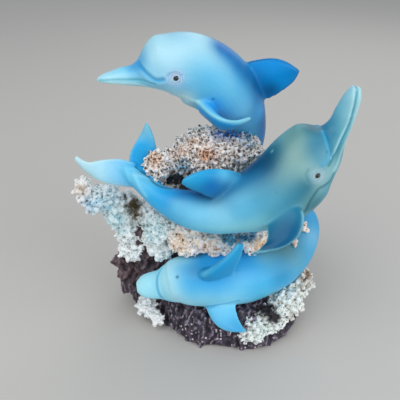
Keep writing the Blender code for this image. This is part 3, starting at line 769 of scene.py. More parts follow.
def finColours(fins, finSamples, coords, colours, shares):
    for name, share in shares.items():
        members = np.nonzero(share > 0.02)[0]
        samples = finSamples[name]
        tree = searchTree([sample[0] for sample in samples])
        hues = [hexColour(text) for text in fins[name][3]]
        for index in members:
            around = tree.find_n(coords[index], 4)
            pull = [1 / (found[2] + 1e-5) for found in around]
            reach = sum(samples[found[1]][1] * p for found, p in zip(around, pull)) / sum(pull)
            edge = sum(samples[found[1]][2] * p for found, p in zip(around, pull)) / sum(pull)
            coat = [np.interp(reach, [0, 0.5, 1], [hue[i] for hue in hues[:3]]) for i in range(3)]
            # The rim colour along the fin's edges is mostly a painted highlight.
            rim = finSection["rimStrength"] * math.exp(-(edge / finSection["rimReach"]) ** 2)
            coat = np.array(coat) * (1 - rim) + np.array(hues[3]) * rim
            colours[index] = colours[index] * (1 - share[index]) + coat * share[index]


def addEye(dolphin, tree, frames, other, mesh, coords, colours, material):
    eye = dolphin["eye"]
    if "pixel" in eye:
        spot = castPixel(tree, *eye["pixel"])
    else:
        distance, across, height = eye["spine"]
        centre, along, side, back = frameAt(frames, distance)
        halfWidth, above, below = profileAt(dolphin["profile"], distance) * millimetre
        spot = tree.find_nearest(centre + side * (across * halfWidth) + back * (height * below))[0]
    if other:
        spot = mirrored(frames, spot)
    spot, outwards = tree.find_nearest(spot)[:2]
    s = eyeSettings
    distances = distancesFrom(spot, coords)
    facing = normals(mesh)
    near = distances < s["reach"]
    wavy = np.zeros(len(coords))  # the wrinkles wander, break up and fade away from the eye
    for index in np.nonzero(near)[0]:
        wavy[index] = grainAt(Vector(coords[index]), s["wanderSize"])
    rippled = distances + s["wander"] * wavy
    fade = eye["show"] * hill(distances, s["fadeReach"], 4) * (s["fadeLevel"] + s["fadeWander"] * wavy)
    patch = s["patchStrength"] * hill(rippled, s["patchReach"]) * near
    colours[:] = mixInto(colours, eye["sheet"], patch)
    # Each wrinkle: its groove painted darker, which is painted shade, and its crest painted pale, which
    # is a painted highlight.
    for ring in eye["rings"]:
        groove = hill(rippled - ring, s["grooveWidth"]) * near
        coords -= facing * (groove * fade * s["grooveDepth"])[:, None]
        colours[:] = mixInto(colours, s["grooveColour"], s["grooveStrength"] * groove * fade)
        crest = hill(rippled - ring + s["crestShift"], s["crestWidth"]) * near
        colours[:] = mixInto(colours, s["crestColour"], s["crestStrength"] * crest * fade)
    coords -= facing * (hill(distances, s["socketWidth"]) * s["socketDepth"])[:, None]
    colours[:] = mixInto(colours, s["socketColour"], smoothStep(*s["socketEdge"], distances))
    bead = bmesh.new()
    size = eye["bead"] * millimetre
    turn = outwards.to_track_quat("Z", "Y").to_matrix().to_4x4()
    place = Matrix.Translation(spot - outwards * (s["beadSink"] * size)) @ turn
    place = place @ Matrix.Diagonal((size, size, size * s["beadFlat"], 1))
    bmesh.ops.create_uvsphere(bead, u_segments=24, v_segments=16, radius=1.0, matrix=place)
    bmesh.ops.recalc_face_normals(bead, faces=bead.faces)
    name = dolphin["name"] + ("FarEye" if other else "NearEye")
    addPiece(name, meshFrom(bead, name), material)


def buildDolphin(dolphin, paintMaterial, eyeMaterial):
    frames = spineFrames(dolphin)
    body = bodyShape(dolphin, frames)
    bodyTree = BVHTree.FromBMesh(body)
    shapes, finTrees, finSamples = [body], {}, {}
    for name, fin in dolphin["fins"].items():
        shape, finSamples[name] = finShape(*fin[:3])
        finTrees[name] = BVHTree.FromBMesh(shape)
        shapes.append(shape)
    steps = [voxels(bodyQuality["voxel"]), smoothing(bodyQuality["smoothTimes"])]
    mesh = shaped(joinShapes(shapes), steps)
    coords = places(mesh)

    # Which vertices belong to a fin, and which lie near where a fin leaves the body.
    onBody = np.array([bodyTree.find_nearest(co)[3] for co in coords])
    shares = {}
    nearRoot = np.zeros(len(coords))
    for name, tree in finTrees.items():
        cloud = [sample[0] for sample in finSamples[name]]
        onFin = np.full(len(coords), 1.0)
        for index in indexesNear(cloud, coords, finSection["paintReach"]):
            onFin[index] = tree.find_nearest(coords[index])[3]
        shares[name] = smoothStep(*bodyQuality["finBlend"], onBody - onFin)
        both = np.maximum(onBody, onFin) / bodyQuality["rootFilletReach"]
        nearRoot = np.maximum(nearRoot, np.clip(bodyQuality["filletStart"] - both, 0, 1))
    mesh = shaped(mesh, [smoothing(bodyQuality["filletTimes"], 0.5, "weights")], weights=nearRoot)
    coords = places(mesh)

    colours = bodyColours(dolphin, coords, frames)
    finColours(dolphin["fins"], finSamples, coords, colours, shares)
    tree = BVHTree.FromPolygons([Vector(co) for co in coords], [list(p.vertices) for p in mesh.polygons])
    facing = normals(mesh)

    for px, py, radius, paint, strength in dolphin["spraysAndPaintedLight"]:
        spot = castPixel(tree, px, py)
        if spot is None:
            print("spray missed", dolphin["name"], px, py)
            continue
        for centre in (spot, mirrored(frames, spot)) if dolphin["sprayBothSides"] else (spot,):
            colours = mixInto(colours, paint, strength * hill(distancesFrom(centre, coords), radius))

    # Each line is pressed in or raised with its colour mixed in: painted shade in the grooves, painted
    # highlights on the ridges.
    for line in dolphin["lines"]:
        for other in (False,) if line.get("oneSide") else (False, True):
            points = surfaceLine(tree, frames, line["pixels"], other)
            if not points:
                print("line missed", dolphin["name"], line["pixels"][0])
                continue
            distances = distancesTo(points, coords, bodyQuality["lineReach"]) / millimetre
            groove = hill(distances, line["width"])
            lip = hill(distances - bodyQuality["lipOffset"] * line["width"], line["width"])
            push = line.get("lip", 0) * lip - line["depth"] * groove
            coords = coords + facing * (push * millimetre)[:, None]
            wide = hill(distances, bodyQuality["lineBleed"] * line["width"])
            colours = mixInto(colours, line["colour"], line["strength"] * wide)

    for (px, py), radius, depth, paint in dolphin["dents"]:
        spot = castPixel(tree, px, py)
        if spot is None:
            print("dent missed", dolphin["name"], px, py)
            continue
        dip = hill(distancesFrom(spot, coords), radius)
        coords = coords - facing * (dip * depth * millimetre)[:, None]
        colours = mixInto(colours, paint, bodyQuality["dentStrength"] * dip)

    for other in (False, True):
        addEye(dolphin, tree, frames, other, mesh, coords, colours, eyeMaterial)
    setPlaces(mesh, coords)
    mesh = shaped(mesh, [smoothing(1, bodyQuality["lastSmoothing"])])
    setColours(mesh, "paint", np.clip(colours, 0, 1) ** np.array(bodyQuality["glaze"]))
    addPiece(dolphin["name"], mesh, paintMaterial)
    print("built", dolphin["name"], len(mesh.polygons), "faces")


# Coral: lumps as in the casting, covered in knobs. Each lump: middle, half sizes. Wash and shade:
# colours from the pits to the tips, the brown wash and dry brush together with painted shade in the
# hollows and painted highlights on the tips. Lace: share of open pits, whose near-black is painted
# shade in the holes. Lift: how pale the dry brush leaves it. Tints: middle, radius, colour,
# strength, and past 1 the paint covers everything; the near-black tints are painted shade in gaps.
coralSettings = {
    "voxel": 0.00062,
    "baseVoxel": 0.0014,
    "lumpShare": 0.86,
    "coarseCrumb": 2.6,  # millimetres
    "fineCrumb": 1.3,
    "fineShare": 0.8,
    "reliefTimes": 10,
    "reliefSpan": 1.1,
    "seed": 7,
}
knobSettings = {
    "tries": 5,  # places tried for each one that could fit
    "lean": 0.5,
    "sink": (0.1, 1.0),
    "widths": (0.7, 1.2),
    "budChance": 0.45,
    "budSize": 0.55,
    "budLean": 1.5,
}

coralPieces = {
    "capCoral": {
        "lumps": [
            ((3, 4, 118), (31, 26, 18)), ((-24, -6, 113), (15, 14, 13)), ((20, -4, 122), (13, 13, 13)),
            ((-6, -10, 124), (14, 13, 12)), ((-33, -21, 120), (8, 9, 12)),
        ],
        "knobs": (0.8, 1.7), "stretch": (0.9, 2.2), "spacing": 2.5, "stand": 0.9, "rough": 0.6,
        "lace": 1.0, "lift": 0.03,
        "washAndShade": ("#4A342E", "#BCA494", "#FAECE0", "#FFFFFF"),
        "tints": [
            ((7, -2, 137), 5.5, "#1878D8", 1.6), ((12, -3, 137), 5.5, "#1878D8", 1.6),
            ((16, -2, 136), 5, "#2484D8", 1.6), ((23, -8, 135), 7, "#6CACD4", 1.2),
            ((-18, -18, 119), 5.5, "#84CCF0", 1.0), ((-17, -20, 115), 4, "#5CB4EA", 0.9),
            ((-2, -23, 129), 6.5, "#F4AC6C", 0.85), ((-33, -28, 131), 6, "#F4C08C", 0.8),
            # Near-black: painted shade in the gap under the cap coral.
            ((-25, -20, 110), 3.8, "#1C1A26", 3.0), ((-20, -19, 110), 4.2, "#1C1A26", 3.0),
            ((-16, -17, 108), 4, "#1C1A26", 3.0),
            ((-19, -12, 128), 5, "#E8B8A0", 0.7),
            ((20, -18, 120), 9, "#8CA2BC", 0.55), ((-13, -14, 135), 7, "#E4C0AC", 0.6),
            ((2, -16, 136), 4, "#6F7CC8", 0.6),
        ],
    },
    "armCoral": {
        "lumps": [
            ((-80.5, -19, 103.5), (4.2, 4, 4)), ((-77, -20, 108.5), (3.8, 4, 4.4)),
            ((-78, -19, 101.5), (5, 5, 4)), ((-72.5, -18, 95.5), (7, 7, 7.5)),
            ((-64, -15, 98.5), (8, 8, 6.5)), ((-61, -14, 90), (8, 8, 8)), ((-60, -14, 82), (8, 8, 6.5)),
            ((-52, -11, 91), (5, 6, 6)), ((-47, -10, 83), (8, 8, 9)), ((-55, -12, 70), (8, 8, 8)),
            ((-52, -12, 56), (9, 9, 8)), ((-38, -19, 84), (10, 8, 6)), ((-33, -21, 77), (10, 9, 8)),
            ((-40, -17, 67), (5, 6, 6)), ((-33, -18, 61), (8, 8, 8)),
        ],
        "knobs": (1.2, 2.7), "stretch": (0.6, 1.15), "spacing": 2.9, "stand": 0.8, "rough": 0.75,
        "lace": 0.35, "lift": 0.16,
        "washAndShade": ("#5F5344", "#A9ABA4", "#DDE8EA", "#FBFFFF"),
        "tints": [
            ((-66, -20, 95), 9, "#9CD2E6", 0.85), ((-60, -20, 84), 8, "#A9DDE2", 0.75),
            ((-38, -26, 80), 11, "#B5E2EA", 0.65), ((-79, -23, 106), 7, "#E0BFA4", 0.7),
            ((-49, -16, 91), 5, "#5A4420", 2.0), ((-46, -22, 85), 4.5, "#6A4C28", 2.0),
            ((-74, -24, 97), 6, "#7CB8E0", 0.75), ((-58, -20, 76), 5, "#8CD0E0", 0.6),
        ],
    },
    "stripCoral": {
        "lumps": [
            ((-15, -27, 73), (14, 11, 10)), ((4, -28, 73), (14, 11, 10)), ((26, -26, 75), (14, 11, 11)),
            ((50, -4, 74), (11, 11, 12)), ((62.5, -5, 67), (2.6, 2.6, 3)),
            ((56, -11.5, 61), (3.2, 2.6, 2.4)),
        ],
        "knobs": (0.9, 1.9), "stretch": (0.7, 1.5), "spacing": 2.5, "stand": 0.8, "rough": 0.6,
        "lace": 0.55, "lift": 0.14,
        "washAndShade": ("#7A6450", "#DCC6B0", "#FCEEE0", "#FFFFFF"),
        "tints": [
            ((-20, -36, 76), 7, "#F0CCA4", 0.7), ((2, -34, 84), 8, "#74BCD8", 0.8),
            ((12.5, -34, 80), 6.5, "#3C8CB0", 2.0), ((23, -35, 82), 6.5, "#3486B0", 2.0),
            ((-2, -36, 74), 7, "#F4CCAA", 0.6), ((30, -37, 75), 4.5, "#F8DCBC", 2.5),
            ((62, -7, 67), 5, "#F2CDB0", 0.9), ((56, -13, 61), 5, "#F2CDB0", 0.9),
        ],
    },
    "rightCoral": {
        "lumps": [
            ((60, -12, 29), (11, 11, 12)), ((51, -26, 21), (12, 11, 11)), ((38, -37, 17), (12, 10, 10)),
            ((26, -44, 13), (9, 8, 9)),
        ],
        "knobs": (1.1, 2.4), "stretch": (0.6, 1.3), "spacing": 2.9, "stand": 0.9, "rough": 0.8,
        "lace": 0.45, "lift": 0.10,
        "washAndShade": ("#4E463C", "#A3A192", "#DCE4E0", "#FAFFFC"),
        "tints": [
            ((66, -14, 36), 9, "#A8846C", 0.9), ((34, -48, 16), 7, "#CFE4E6", 0.5),
            # From (31, -36, 26) on, near-black: painted shade where the coral reads as a gap.
            ((56, -30, 16), 7, "#C4A48C", 0.6), ((31, -36, 26), 5, "#241C22", 3.0),
            ((37, -39, 27), 5, "#241C22", 3.0), ((41, -43, 24), 4, "#2C2228", 3.0),
        ],
    },
    "footCoral": {
        "lumps": [
            ((-44, -21, 14), (8, 7, 6)), ((-36, -29, 10), (5.5, 5, 3.6)),
            ((-34, 40, 24), (14, 11, 13)), ((36, 38, 24), (14, 12, 13)),
        ],
        "knobs": (1.1, 2.2), "stretch": (0.6, 1.2), "spacing": 2.8, "stand": 0.9, "rough": 0.7,
        "lace": 0.2, "lift": 0.14,
        "washAndShade": ("#8A847C", "#D0D2D0", "#F0F4F6", "#FFFFFF"),
        "tints": [((-46, -20, 16), 14, "#EAF2F6", 0.6)],
    },
}


def lumpShape(middle, halves, share):
    bm = bmesh.new()
    size = [half * share * millimetre for half in halves]
    place = Matrix.Translation(Vector(middle) * millimetre) @ Matrix.Diagonal((*size, 1))
    bmesh.ops.create_icosphere(bm, subdivisions=3, radius=1.0, matrix=place)
    return bm


def scatter(mesh, spacing, rng):  # evenly spaced places and directions over the surface
    faces = list(mesh.polygons)
    areas = np.array([p.area for p in faces])
    count = int(areas.sum() / (spacing * spacing) * knobSettings["tries"])
    chosen = rng.choices(range(len(faces)), weights=areas.tolist(), k=count)
    kept, cells = [], {}
    for index in chosen:
        face = faces[index]
        corner = mesh.vertices[face.vertices[rng.randrange(len(face.vertices))]].co
        place = face.center.lerp(corner, rng.random())
        key = tuple(int(v // spacing) for v in place)
        around = [p for dx in (-1, 0, 1) for dy in (-1, 0, 1) for dz in (-1, 0, 1)
                  for p in cells.get((key[0] + dx, key[1] + dy, key[2] + dz), [])]
        if all((place - other).length > spacing for other in around):
            cells.setdefault(key, []).append(place)
            kept.append((place, face.normal.copy()))
    return kept


def knobbly(base, knobs, stretches, spacing, stand, rng):  # the base with knobs standing on it
    k = knobSettings
    joined = bmesh.new()
    joined.from_mesh(base)
    for place, direction in scatter(base, spacing * millimetre, rng):
        size = rng.uniform(*knobs) * millimetre
        lean = Vector([rng.uniform(-k["lean"], k["lean"]) for i in range(3)])
        outwards = (direction + lean).normalized()
        turn = outwards.to_track_quat("Z", "Y").to_matrix().to_4x4()
        middle = place + outwards * (size * rng.uniform(*k["sink"]) * stand)
        width, height = rng.uniform(*k["widths"]), rng.uniform(*stretches)
        stretch = Matrix.Diagonal((size, size * width, size * height, 1))
        bmesh.ops.create_icosphere(joined, subdivisions=2, radius=1.0,
                                   matrix=Matrix.Translation(middle) @ turn @ stretch)
        if rng.random() < k["budChance"]:  # a smaller bud on the knob
            bud = middle + (outwards + lean * k["budLean"]).normalized() * size
            bmesh.ops.create_icosphere(joined, subdivisions=1, radius=size * k["budSize"],
                                       matrix=Matrix.Translation(bud))
    return meshFrom(joined)


def reliefOf(mesh, times):  # how far each vertex stands out of the surface around it, in millimetres
    coords, facing = places(mesh), normals(mesh)
    softened = shaped(mesh.copy(), [smoothing(times)])
    relief = ((coords - places(softened)) * facing).sum(1) / millimetre
    bpy.data.meshes.remove(softened)
    return relief


def tinted(coords, tints):
    colours = np.ones((len(coords), 3))
    weights = np.zeros(len(coords))
    for middle, radius, paint, strength in tints:
        distances = np.linalg.norm(coords / millimetre - np.array(middle), axis=1)
        weight = strength * hill(distances, radius)
        colours = mixInto(colours, paint, weight / np.maximum(weights + weight, 1e-6))
        weights = np.maximum(weights, weight)
    return colours, weights


def finishStone(name, mesh, coords, settings, material):  # moves, tints and adds the piece
    coords[:, 2] = np.maximum(coords[:, 2], 0)
    setPlaces(mesh, coords)
    relief = reliefOf(mesh, settings["reliefTimes"])
    tint, weights = tinted(places(mesh), settings["tints"])
    setColours(mesh, "tint", tint)
    setValues(mesh, "tintWeight", weights)
    setValues(mesh, "relief", np.clip(0.5 + relief / settings["reliefSpan"], 0, 1))
    addPiece(name, mesh, material)
    print("built", name, len(mesh.polygons), "faces")


def buildCoral(name, coral, material, rng):
    s = {**coralSettings, **coral}
    base = joinShapes([lumpShape(middle, halves, s["lumpShare"]) for middle, halves in s["lumps"]])
    base = shaped(base, [voxels(s["baseVoxel"])])
    mesh = knobbly(base, s["knobs"], s["stretch"], s["spacing"], s["stand"], rng)
    bpy.data.meshes.remove(base)
    mesh = shaped(mesh, [voxels(s["voxel"]), smoothing(1)])
    coords, facing = places(mesh), normals(mesh)
    crumbs = s["rough"] * millimetre
    push = np.empty(len(coords))
    for index, co in enumerate(coords):
        point = Vector(co)
        push[index] = crumbs * (grainAt(point, s["coarseCrumb"])
                                + s["fineShare"] * grainAt(point, s["fineCrumb"]))
    finishStone(name, mesh, coords + facing * push[:, None], s, material)


# Rock: the casting's own form, then knobs, craggy ridges and a flat underside. Knobs: middle, half
# sizes. Ridges, cracks and grain: sizes and depths in millimetres. Flecks: middle, radius.
rockSettings = {
    "footWidth": 126, "footDepth": 104, "footHeight": 22,
    "shoulderWidth": 78, "shoulderDepth": 62, "shoulderHeight": 45,
    "columnWidth": 46, "columnDepth": 40, "columnHeight": 112,
    "outline": [
        (-0.97, 0.25), (-0.80, -0.20), (-0.55, -0.42), (-0.32, -0.69), (-0.15, -0.87), (0.15, -0.90),
        (0.42, -0.96), (0.68, -0.84), (0.88, -0.60), (0.98, -0.30), (1.00, 0.15), (0.90, 0.55),
        (0.62, 0.85), (0.20, 0.98), (-0.30, 0.96), (-0.72, 0.75),
    ],
    "knobs": [
        ((-45, -4, 58), (11, 13, 26)), ((-54, 4, 36), (10, 12, 17)), ((-36, 4, 30), (22, 24, 22)),
        ((34, 14, 44), (30, 30, 30)), ((-48, -12, 68), (5, 5, 6)), ((-45, -13, 62), (5, 5, 6)),
        ((-42, -15, 55), (5, 5, 6)), ((-63, -5, 41), (5, 5, 5)), ((-59, -8, 32), (6, 6, 6)),
        ((-57, -10, 23), (6, 6, 6)),
    ],
    "footMiddle": (-4, 6),
    "shoulderMiddle": (-8, 8),
    "waistMiddle": (-8, 7),
    "columnMiddle": (-4, 5),
    "topMiddle": (0, 4),
    "footLevels": ((0, 0.97), (0.3, 1), (0.8, 0.92), (1, 0.76)),  # share of the height, of the outline
    "slopeHeight": 0.25,
    "slopeOutline": 0.45,
    "waistHeight": 0.25,
    "columnFoot": 0.55,
    "knobShare": 0.97,
    "crags": {"sizes": (1.2, 2.6), "stretch": (0.6, 1.1), "spacing": 5.6, "stand": 0.0},
    "ridges": {"width": 4.2, "height": 13, "waveSize": 9, "wave": 0.5, "sharpness": 2.4, "depth": 1.5},
    "cracks": {"size": 3.0, "depth": 0.7, "limit": 0.5},
    "grain": {"size": 1.5, "depth": 0.4},
    "level": -1.1,
    "highest": 0.55,
    "footFade": (0.0004, 0.004),  # the flat underside stays flat
    "reliefTimes": 12,
    "reliefSpan": 2.0,
    "tints": [
        ((-50, -10, 60), 20, "#6A4C40", 0.9), ((-58, -2, 34), 18, "#6A4A3C", 0.85),
        ((-48, -24, 18), 14, "#54403A", 0.8), ((44, -24, 30), 14, "#4A3A34", 0.5),
    ],
    "fleckSpots": (((-22, -44, 10), 17), ((4, -48, 10), 17), ((28, -44, 8), 16)),
    "baseVoxel": 0.0022,
    "voxel": 0.00105,
    "seed": 21,
}


def rockShape():
    s = rockSettings
    outline = smoothCurve([Vector(share) for share in s["outline"] + s["outline"][:1]], 3)[:-1]
    slope = s["shoulderHeight"] - s["footHeight"]
    above = s["columnHeight"] - s["shoulderHeight"]
    shoulder = (s["shoulderWidth"], s["shoulderDepth"])
    waist = ((s["shoulderWidth"] + s["columnWidth"]) / 2, (s["shoulderDepth"] + s["columnDepth"]) / 2)
    column = (s["columnWidth"], s["columnDepth"])
    levels = [(s["footHeight"] * height, share, *shoulder, *s["footMiddle"])
              for height, share in s["footLevels"]]
    levels += [
        (s["footHeight"] + s["slopeHeight"] * slope, s["slopeOutline"], *shoulder, *s["footMiddle"]),
        (s["shoulderHeight"], 0, *shoulder, *s["shoulderMiddle"]),
        (s["shoulderHeight"] + s["waistHeight"] * above, 0, *waist, *s["waistMiddle"]),
        (s["shoulderHeight"] + s["columnFoot"] * above, 0, *column, *s["columnMiddle"]),
        (s["columnHeight"], 0, *column, *s["topMiddle"]),
    ]
    rings = []
    smoothed = zip(*[smoothCurve(column, 4) for column in zip(*levels)])
    for height, share, width, depth, middleX, middleY in smoothed:
        ring = []
        for edge in outline:
            outwards = edge.normalized()
            oval = Vector((middleX + outwards.x * width / 2, middleY + outwards.y * depth / 2))
            rim = Vector((edge.x * s["footWidth"] / 2, edge.y * s["footDepth"] / 2))
            place = oval.lerp(rim, share)
            ring.append(Vector((place.x, place.y, max(height, 0))) * millimetre)
        rings.append(ring)
    return loftRings(rings)


def buildRock(material, rng):
    s = rockSettings
    noise.seed_set(s["seed"])  # otherwise the vector noise changes from run to run
    crags, ridges, cracks, grain = s["crags"], s["ridges"], s["cracks"], s["grain"]
    knobs = [lumpShape(middle, halves, s["knobShare"]) for middle, halves in s["knobs"]]
    base = shaped(joinShapes([rockShape()] + knobs), [voxels(s["baseVoxel"])])
    mesh = knobbly(base, crags["sizes"], crags["stretch"], crags["spacing"], crags["stand"], rng)
    bpy.data.meshes.remove(base)
    mesh = shaped(mesh, [voxels(s["voxel"]), smoothing(1)])
    coords, facing = places(mesh), normals(mesh)
    push = np.empty(len(coords))
    for index, co in enumerate(coords):  # the ridges run up the wall
        point = Vector(co)
        wave = noise.noise_vector(point / (ridges["waveSize"] * millimetre)) * ridges["wave"]
        x, y, z = co
        upright = Vector((x / ridges["width"], y / ridges["width"], z / ridges["height"])) / millimetre
        ridge = 1 - abs(noise.noise(upright + wave)) * ridges["sharpness"]
        crack = noise.voronoi(point / (cracks["size"] * millimetre) + wave)[0]
        gap = min(crack[1] - crack[0], cracks["limit"])
        speck = grainAt(point, grain["size"])
        height = ridges["depth"] * ridge + s["level"] + cracks["depth"] * gap + grain["depth"] * speck
        push[index] = min(height, s["highest"]) * millimetre
    push *= smoothStep(*s["footFade"], coords[:, 2])
    finishStone("rock", mesh, coords + facing * push[:, None], s, material)
    coords = places(mesh)
    flecks = np.zeros(len(coords))
    for middle, radius in s["fleckSpots"]:
        distances = np.linalg.norm(coords / millimetre - np.array(middle), axis=1)
        flecks = np.maximum(flecks, hill(distances, radius, 4))
    setValues(mesh, "flecks", flecks)


# Airbrushed acrylic on cast resin under a satin lacquer: soft broad highlights, a faint mottle
# where the spray dried, and a skin that is very slightly uneven from the mould. The spray's own
# grain is finer than this, and is drawn coarse enough to show.
def airbrushedLacquer():
    material, tree, coords = newMaterial("airbrushedLacquer")
    paint = addNode(tree, "Attribute", {"attribute_name": "paint"})
    cloud = addNode(tree, "TexNoise", {"Scale": 90.0, "Detail": 3.0}, {"Vector": coords})  # 11 mm
    spray = addNode(tree, "TexNoise", {"Scale": 1500.0, "Detail": 2.0}, {"Vector": coords})  # 0.7 mm
    cloudTone = addNode(tree, "MapRange", {3: 0.93, 4: 1.05}, {0: cloud})
    sprayTone = addNode(tree, "MapRange", {3: 0.93, 4: 1.07}, {0: spray})
    tone = addNode(tree, "Math", {"operation": "MULTIPLY"}, {0: cloudTone, 1: sprayTone})
    colour = addNode(tree, "VectorMath", {"operation": "SCALE"}, {0: paint, "Scale": tone})
    rough = addNode(tree, "MapRange", {3: 0.30, 4: 0.42}, {0: cloud})
    skin = addNode(tree, "TexNoise", {"Scale": 260.0, "Detail": 4.0}, {"Vector": coords})  # 4 mm
    bump = addNode(tree, "Bump", {"Strength": 0.25, "Distance": 0.0003}, {"Height": skin})
    shader = addNode(tree, "BsdfPrincipled",
                     {"Coat Weight": 0.12, "Coat Roughness": 0.18, "IOR": 1.5,
                      "Specular IOR Level": 0.16},
                     {"Base Color": colour, "Roughness": rough, "Normal": bump})
    finishMaterial(tree, shader)
    return material


# Black enamel dot under gloss varnish: nearly black, with a small sharp highlight. Its dust is
# drawn coarser than real.
def glossEnamel():
    material, tree, coords = newMaterial("glossEnamel")
    dust = addNode(tree, "TexNoise", {"Scale": 700.0, "Detail": 2.0}, {"Vector": coords})  # 1.4 mm
    rough = addNode(tree, "MapRange", {3: 0.08, 4: 0.2}, {0: dust})
    shader = addNode(tree, "BsdfPrincipled",
                     {"Base Color": (*hexColour("#08090D"), 1), "Coat Weight": 0.6,
                      "Coat Roughness": 0.05, "IOR": 1.5}, {"Roughness": rough})
    finishMaterial(tree, shader)
    return material


# Matt paint on cast resin, washed brown and dry-brushed pale, with patches of blue overspray. Dark
# in the pits and pale on the tips: partly the wash and dry brush, partly painted shade in the
# hollows and painted highlights on the tips. The near-black in the open pits is painted shade.
def dryBrushedPaintAndShade(name, washAndShade, lace, lift):
    material, tree, coords = newMaterial(name)
    relief = addNode(tree, "Attribute", {"attribute_name": "relief"}).outputs["Fac"]
    grain = addNode(tree, "TexNoise", {"Scale": 620.0, "Detail": 5.0}, {"Vector": coords})  # 1.6 mm
    shifted = addNode(tree, "Math", {"operation": "MULTIPLY_ADD", 1: 0.6}, {0: grain, 2: relief})
    level = addNode(tree, "Math", {"operation": "SUBTRACT", 1: 0.30 - lift}, {0: shifted})
    # The ramp from pits to tips: wash and dry brush with painted shade in the hollows and painted
    # highlights on the tips.
    stops = list(zip((0.14, 0.36, 0.52, 0.74), washAndShade))
    base = addNode(tree, "ValToRGB", {"stops": stops}, {"Fac": level})
    tint = addNode(tree, "Attribute", {"attribute_name": "tint"})
    amount = addNode(tree, "Attribute", {"attribute_name": "tintWeight"}).outputs["Fac"]
    patch = addNode(tree, "TexNoise", {"Scale": 240.0, "Detail": 3.0}, {"Vector": coords})  # 4 mm
    patchTone = addNode(tree, "MapRange", {1: 0.35, 2: 0.6, 3: 0.35, 4: 1.25}, {0: patch})
    amount = addNode(tree, "Math", {"operation": "MULTIPLY", "use_clamp": True},
                     {0: amount, 1: patchTone})
    multiplied = addNode(tree, "Mix", {"data_type": "RGBA", "blend_type": "MULTIPLY"},
                         {0: amount, 6: base, 7: tint})
    warp = addNode(tree, "TexNoise", {"Scale": 400.0, "Detail": 2.0}, {"Vector": coords})  # 2.5 mm
    bent = addNode(tree, "VectorMath", {"operation": "MULTIPLY_ADD", 1: (0.003, 0.003, 0.003)},
                   {0: warp.outputs["Color"], 2: coords})
    cells = addNode(tree, "TexVoronoi", {"feature": "DISTANCE_TO_EDGE", "Scale": 460.0},
                    {"Vector": bent})  # pits about 2.2 mm apart
    hole = addNode(tree, "MapRange", {1: 0.12, 2: 0.34, 3: 0.0, 4: 1.0}, {0: cells})
    pitted = addNode(tree, "MapRange", {1: 0.62 - 0.3 * lace, 2: 0.78 - 0.3 * lace, 3: 0.0, 4: 1.0},
                     {0: patch})
    hole = addNode(tree, "Math", {"operation": "MULTIPLY"}, {0: hole, 1: pitted})
    # Near-black in the open pits: painted shade in the holes.
    colour = addNode(tree, "Mix", {"data_type": "RGBA", 7: (*hexColour("#2A2226"), 1)},
                     {0: hole, 6: multiplied.outputs[2]})
    height = addNode(tree, "Math", {"operation": "MULTIPLY_ADD", 1: -1.6}, {0: hole, 2: grain})
    bump = addNode(tree, "Bump", {"Strength": 0.7, "Distance": 0.0005}, {"Height": height})
    shader = addNode(tree, "BsdfPrincipled", {"Roughness": 0.72, "IOR": 1.48},
                     {"Base Color": colour.outputs[2], "Normal": bump})
    finishMaterial(tree, shader)
    return material


# Dark acrylic wash on cast resin, under the same lacquer: purple-black in the hollows, brown and
# paler on the crests, partly the wash and partly painted shade in the hollows and painted
# highlights on the crests, with pearly flecks where paint was flicked over the front.
def fleckedRockPaint():
    material, tree, coords = newMaterial("fleckedRockPaint")
    relief = addNode(tree, "Attribute", {"attribute_name": "relief"}).outputs["Fac"]
    grain = addNode(tree, "TexNoise", {"Scale": 420.0, "Detail": 6.0}, {"Vector": coords})  # 2.4 mm
    level = addNode(tree, "Math", {"operation": "MULTIPLY_ADD", 1: 0.5, "use_clamp": True},
                    {0: grain, 2: relief})
    # The ramp from hollows to crests: the dark wash with painted shade in the hollows and painted
    # highlights on the crests.
    stops = [(0.42, "#08070D"), (0.68, "#262030"), (0.85, "#4A3F50"), (1.0, "#8A7C8C")]
    base = addNode(tree, "ValToRGB", {"stops": stops}, {"Fac": level})
    tint = addNode(tree, "Attribute", {"attribute_name": "tint"})
    amount = addNode(tree, "Attribute", {"attribute_name": "tintWeight"}).outputs["Fac"]
    crest = addNode(tree, "MapRange", {1: 0.55, 2: 1.0, 3: 0.1, 4: 1.0}, {0: level})
    amount = addNode(tree, "Math", {"operation": "MULTIPLY"}, {0: amount, 1: crest})
    brown = addNode(tree, "Mix", {"data_type": "RGBA"}, {0: amount, 6: base, 7: tint})
    cells = addNode(tree, "TexVoronoi", {"Scale": 430.0}, {"Vector": coords})  # 2.3 mm apart
    dots = addNode(tree, "MapRange", {1: 0.36, 2: 0.22, 3: 0.0, 4: 1.0}, {0: cells})
    some = addNode(tree, "SeparateColor", links={0: cells.outputs["Color"]})
    picked = addNode(tree, "MapRange", {1: 0.50, 2: 0.58, 3: 0.0, 4: 1.0}, {0: some})
    flecks = addNode(tree, "Attribute", {"attribute_name": "flecks"}).outputs["Fac"]
    shown = addNode(tree, "Math", {"operation": "MULTIPLY"}, {0: dots, 1: picked})
    shown = addNode(tree, "Math", {"operation": "MULTIPLY"}, {0: shown, 1: flecks})
    colour = addNode(tree, "Mix", {"data_type": "RGBA", 7: (*hexColour("#D8CED8"), 1)},
                     {0: shown, 6: brown.outputs[2]})
    bump = addNode(tree, "Bump", {"Strength": 0.8, "Distance": 0.0008}, {"Height": grain})
    shader = addNode(tree, "BsdfPrincipled", {"Roughness": 0.45, "IOR": 1.5},
                     {"Base Color": colour.outputs[2], "Normal": bump})
    finishMaterial(tree, shader)
    return material


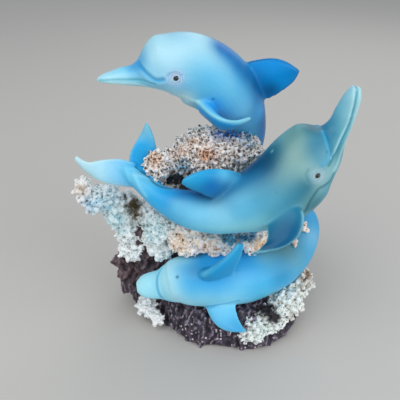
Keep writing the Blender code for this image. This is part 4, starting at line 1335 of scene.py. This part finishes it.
# Studio: pale paper, large soft lights from the left and the right front, and a weak one behind.
# Each light: name, place, size, power, colour.
studio = {
    "paper": "#C4C2BE",
    "air": "#E4E8EC",
    "airStrength": 0.62,
    "floorSize": 3.0,
    "aim": (0, 0, 0.08),
    "lights": [
        ("windowLight", (-0.50, -0.60, 0.95), 0.9, 5.6, "#FFFFFF"),
        ("fillLight", (0.75, -0.60, 0.40), 0.9, 5.0, "#F8FBFF"),
        ("rimLight", (0.3, 0.7, 0.7), 0.7, 1.5, "#FFFFFF"),
    ],
}


# Mat board under the figurine: no shine, and a fibre drawn coarser than real.
def matPaper():
    material, tree, coords = newMaterial("matPaper")
    fibre = addNode(tree, "TexNoise", {"Scale": 500.0, "Detail": 4.0}, {"Vector": coords})  # 2 mm
    rough = addNode(tree, "MapRange", {3: 0.85, 4: 0.95}, {0: fibre})
    shader = addNode(tree, "BsdfPrincipled", {"Base Color": (*hexColour(studio["paper"]), 1)},
                     {"Roughness": rough})
    finishMaterial(tree, shader)
    return material


def setUpStudio():
    bm = bmesh.new()
    bmesh.ops.create_grid(bm, x_segments=2, y_segments=2, size=studio["floorSize"])
    mesh = meshFrom(bm, "floor")
    mesh.materials.append(matPaper())
    floor = addObject("floor", mesh)
    for name, place, size, power, colour in studio["lights"]:
        lamp = bpy.data.lights.new(name, "AREA")
        lamp.size = size
        lamp.energy = power
        lamp.color = hexColour(colour)
        holder = addObject(name, lamp)
        holder.location = place
        aim = Vector(studio["aim"]) - Vector(place)
        holder.rotation_euler = aim.to_track_quat("-Z", "Y").to_euler()
    world = bpy.data.worlds.new("world")
    world.use_nodes = True
    background = world.node_tree.nodes["Background"]
    background.inputs["Color"].default_value = (*hexColour(studio["air"]), 1)
    background.inputs["Strength"].default_value = studio["airStrength"]
    bpy.context.scene.world = world
    bpy.context.scene.view_settings.view_transform = "Standard"  # keeps the airbrushed blues saturated


setUpCamera()
setUpStudio()
print("studio ready")
lacquer = airbrushedLacquer()
enamel = glossEnamel()
for dolphin in (topDolphin, middleDolphin, lowerDolphin):
    buildDolphin(dolphin, lacquer, enamel)
coralRandom = random.Random(coralSettings["seed"])
for coralName, coral in coralPieces.items():
    coat = dryBrushedPaintAndShade(coralName + "Paint", coral["washAndShade"], coral["lace"], coral["lift"])
    buildCoral(coralName, coral, coat, coralRandom)
buildRock(fleckedRockPaint(), random.Random(rockSettings["seed"]))
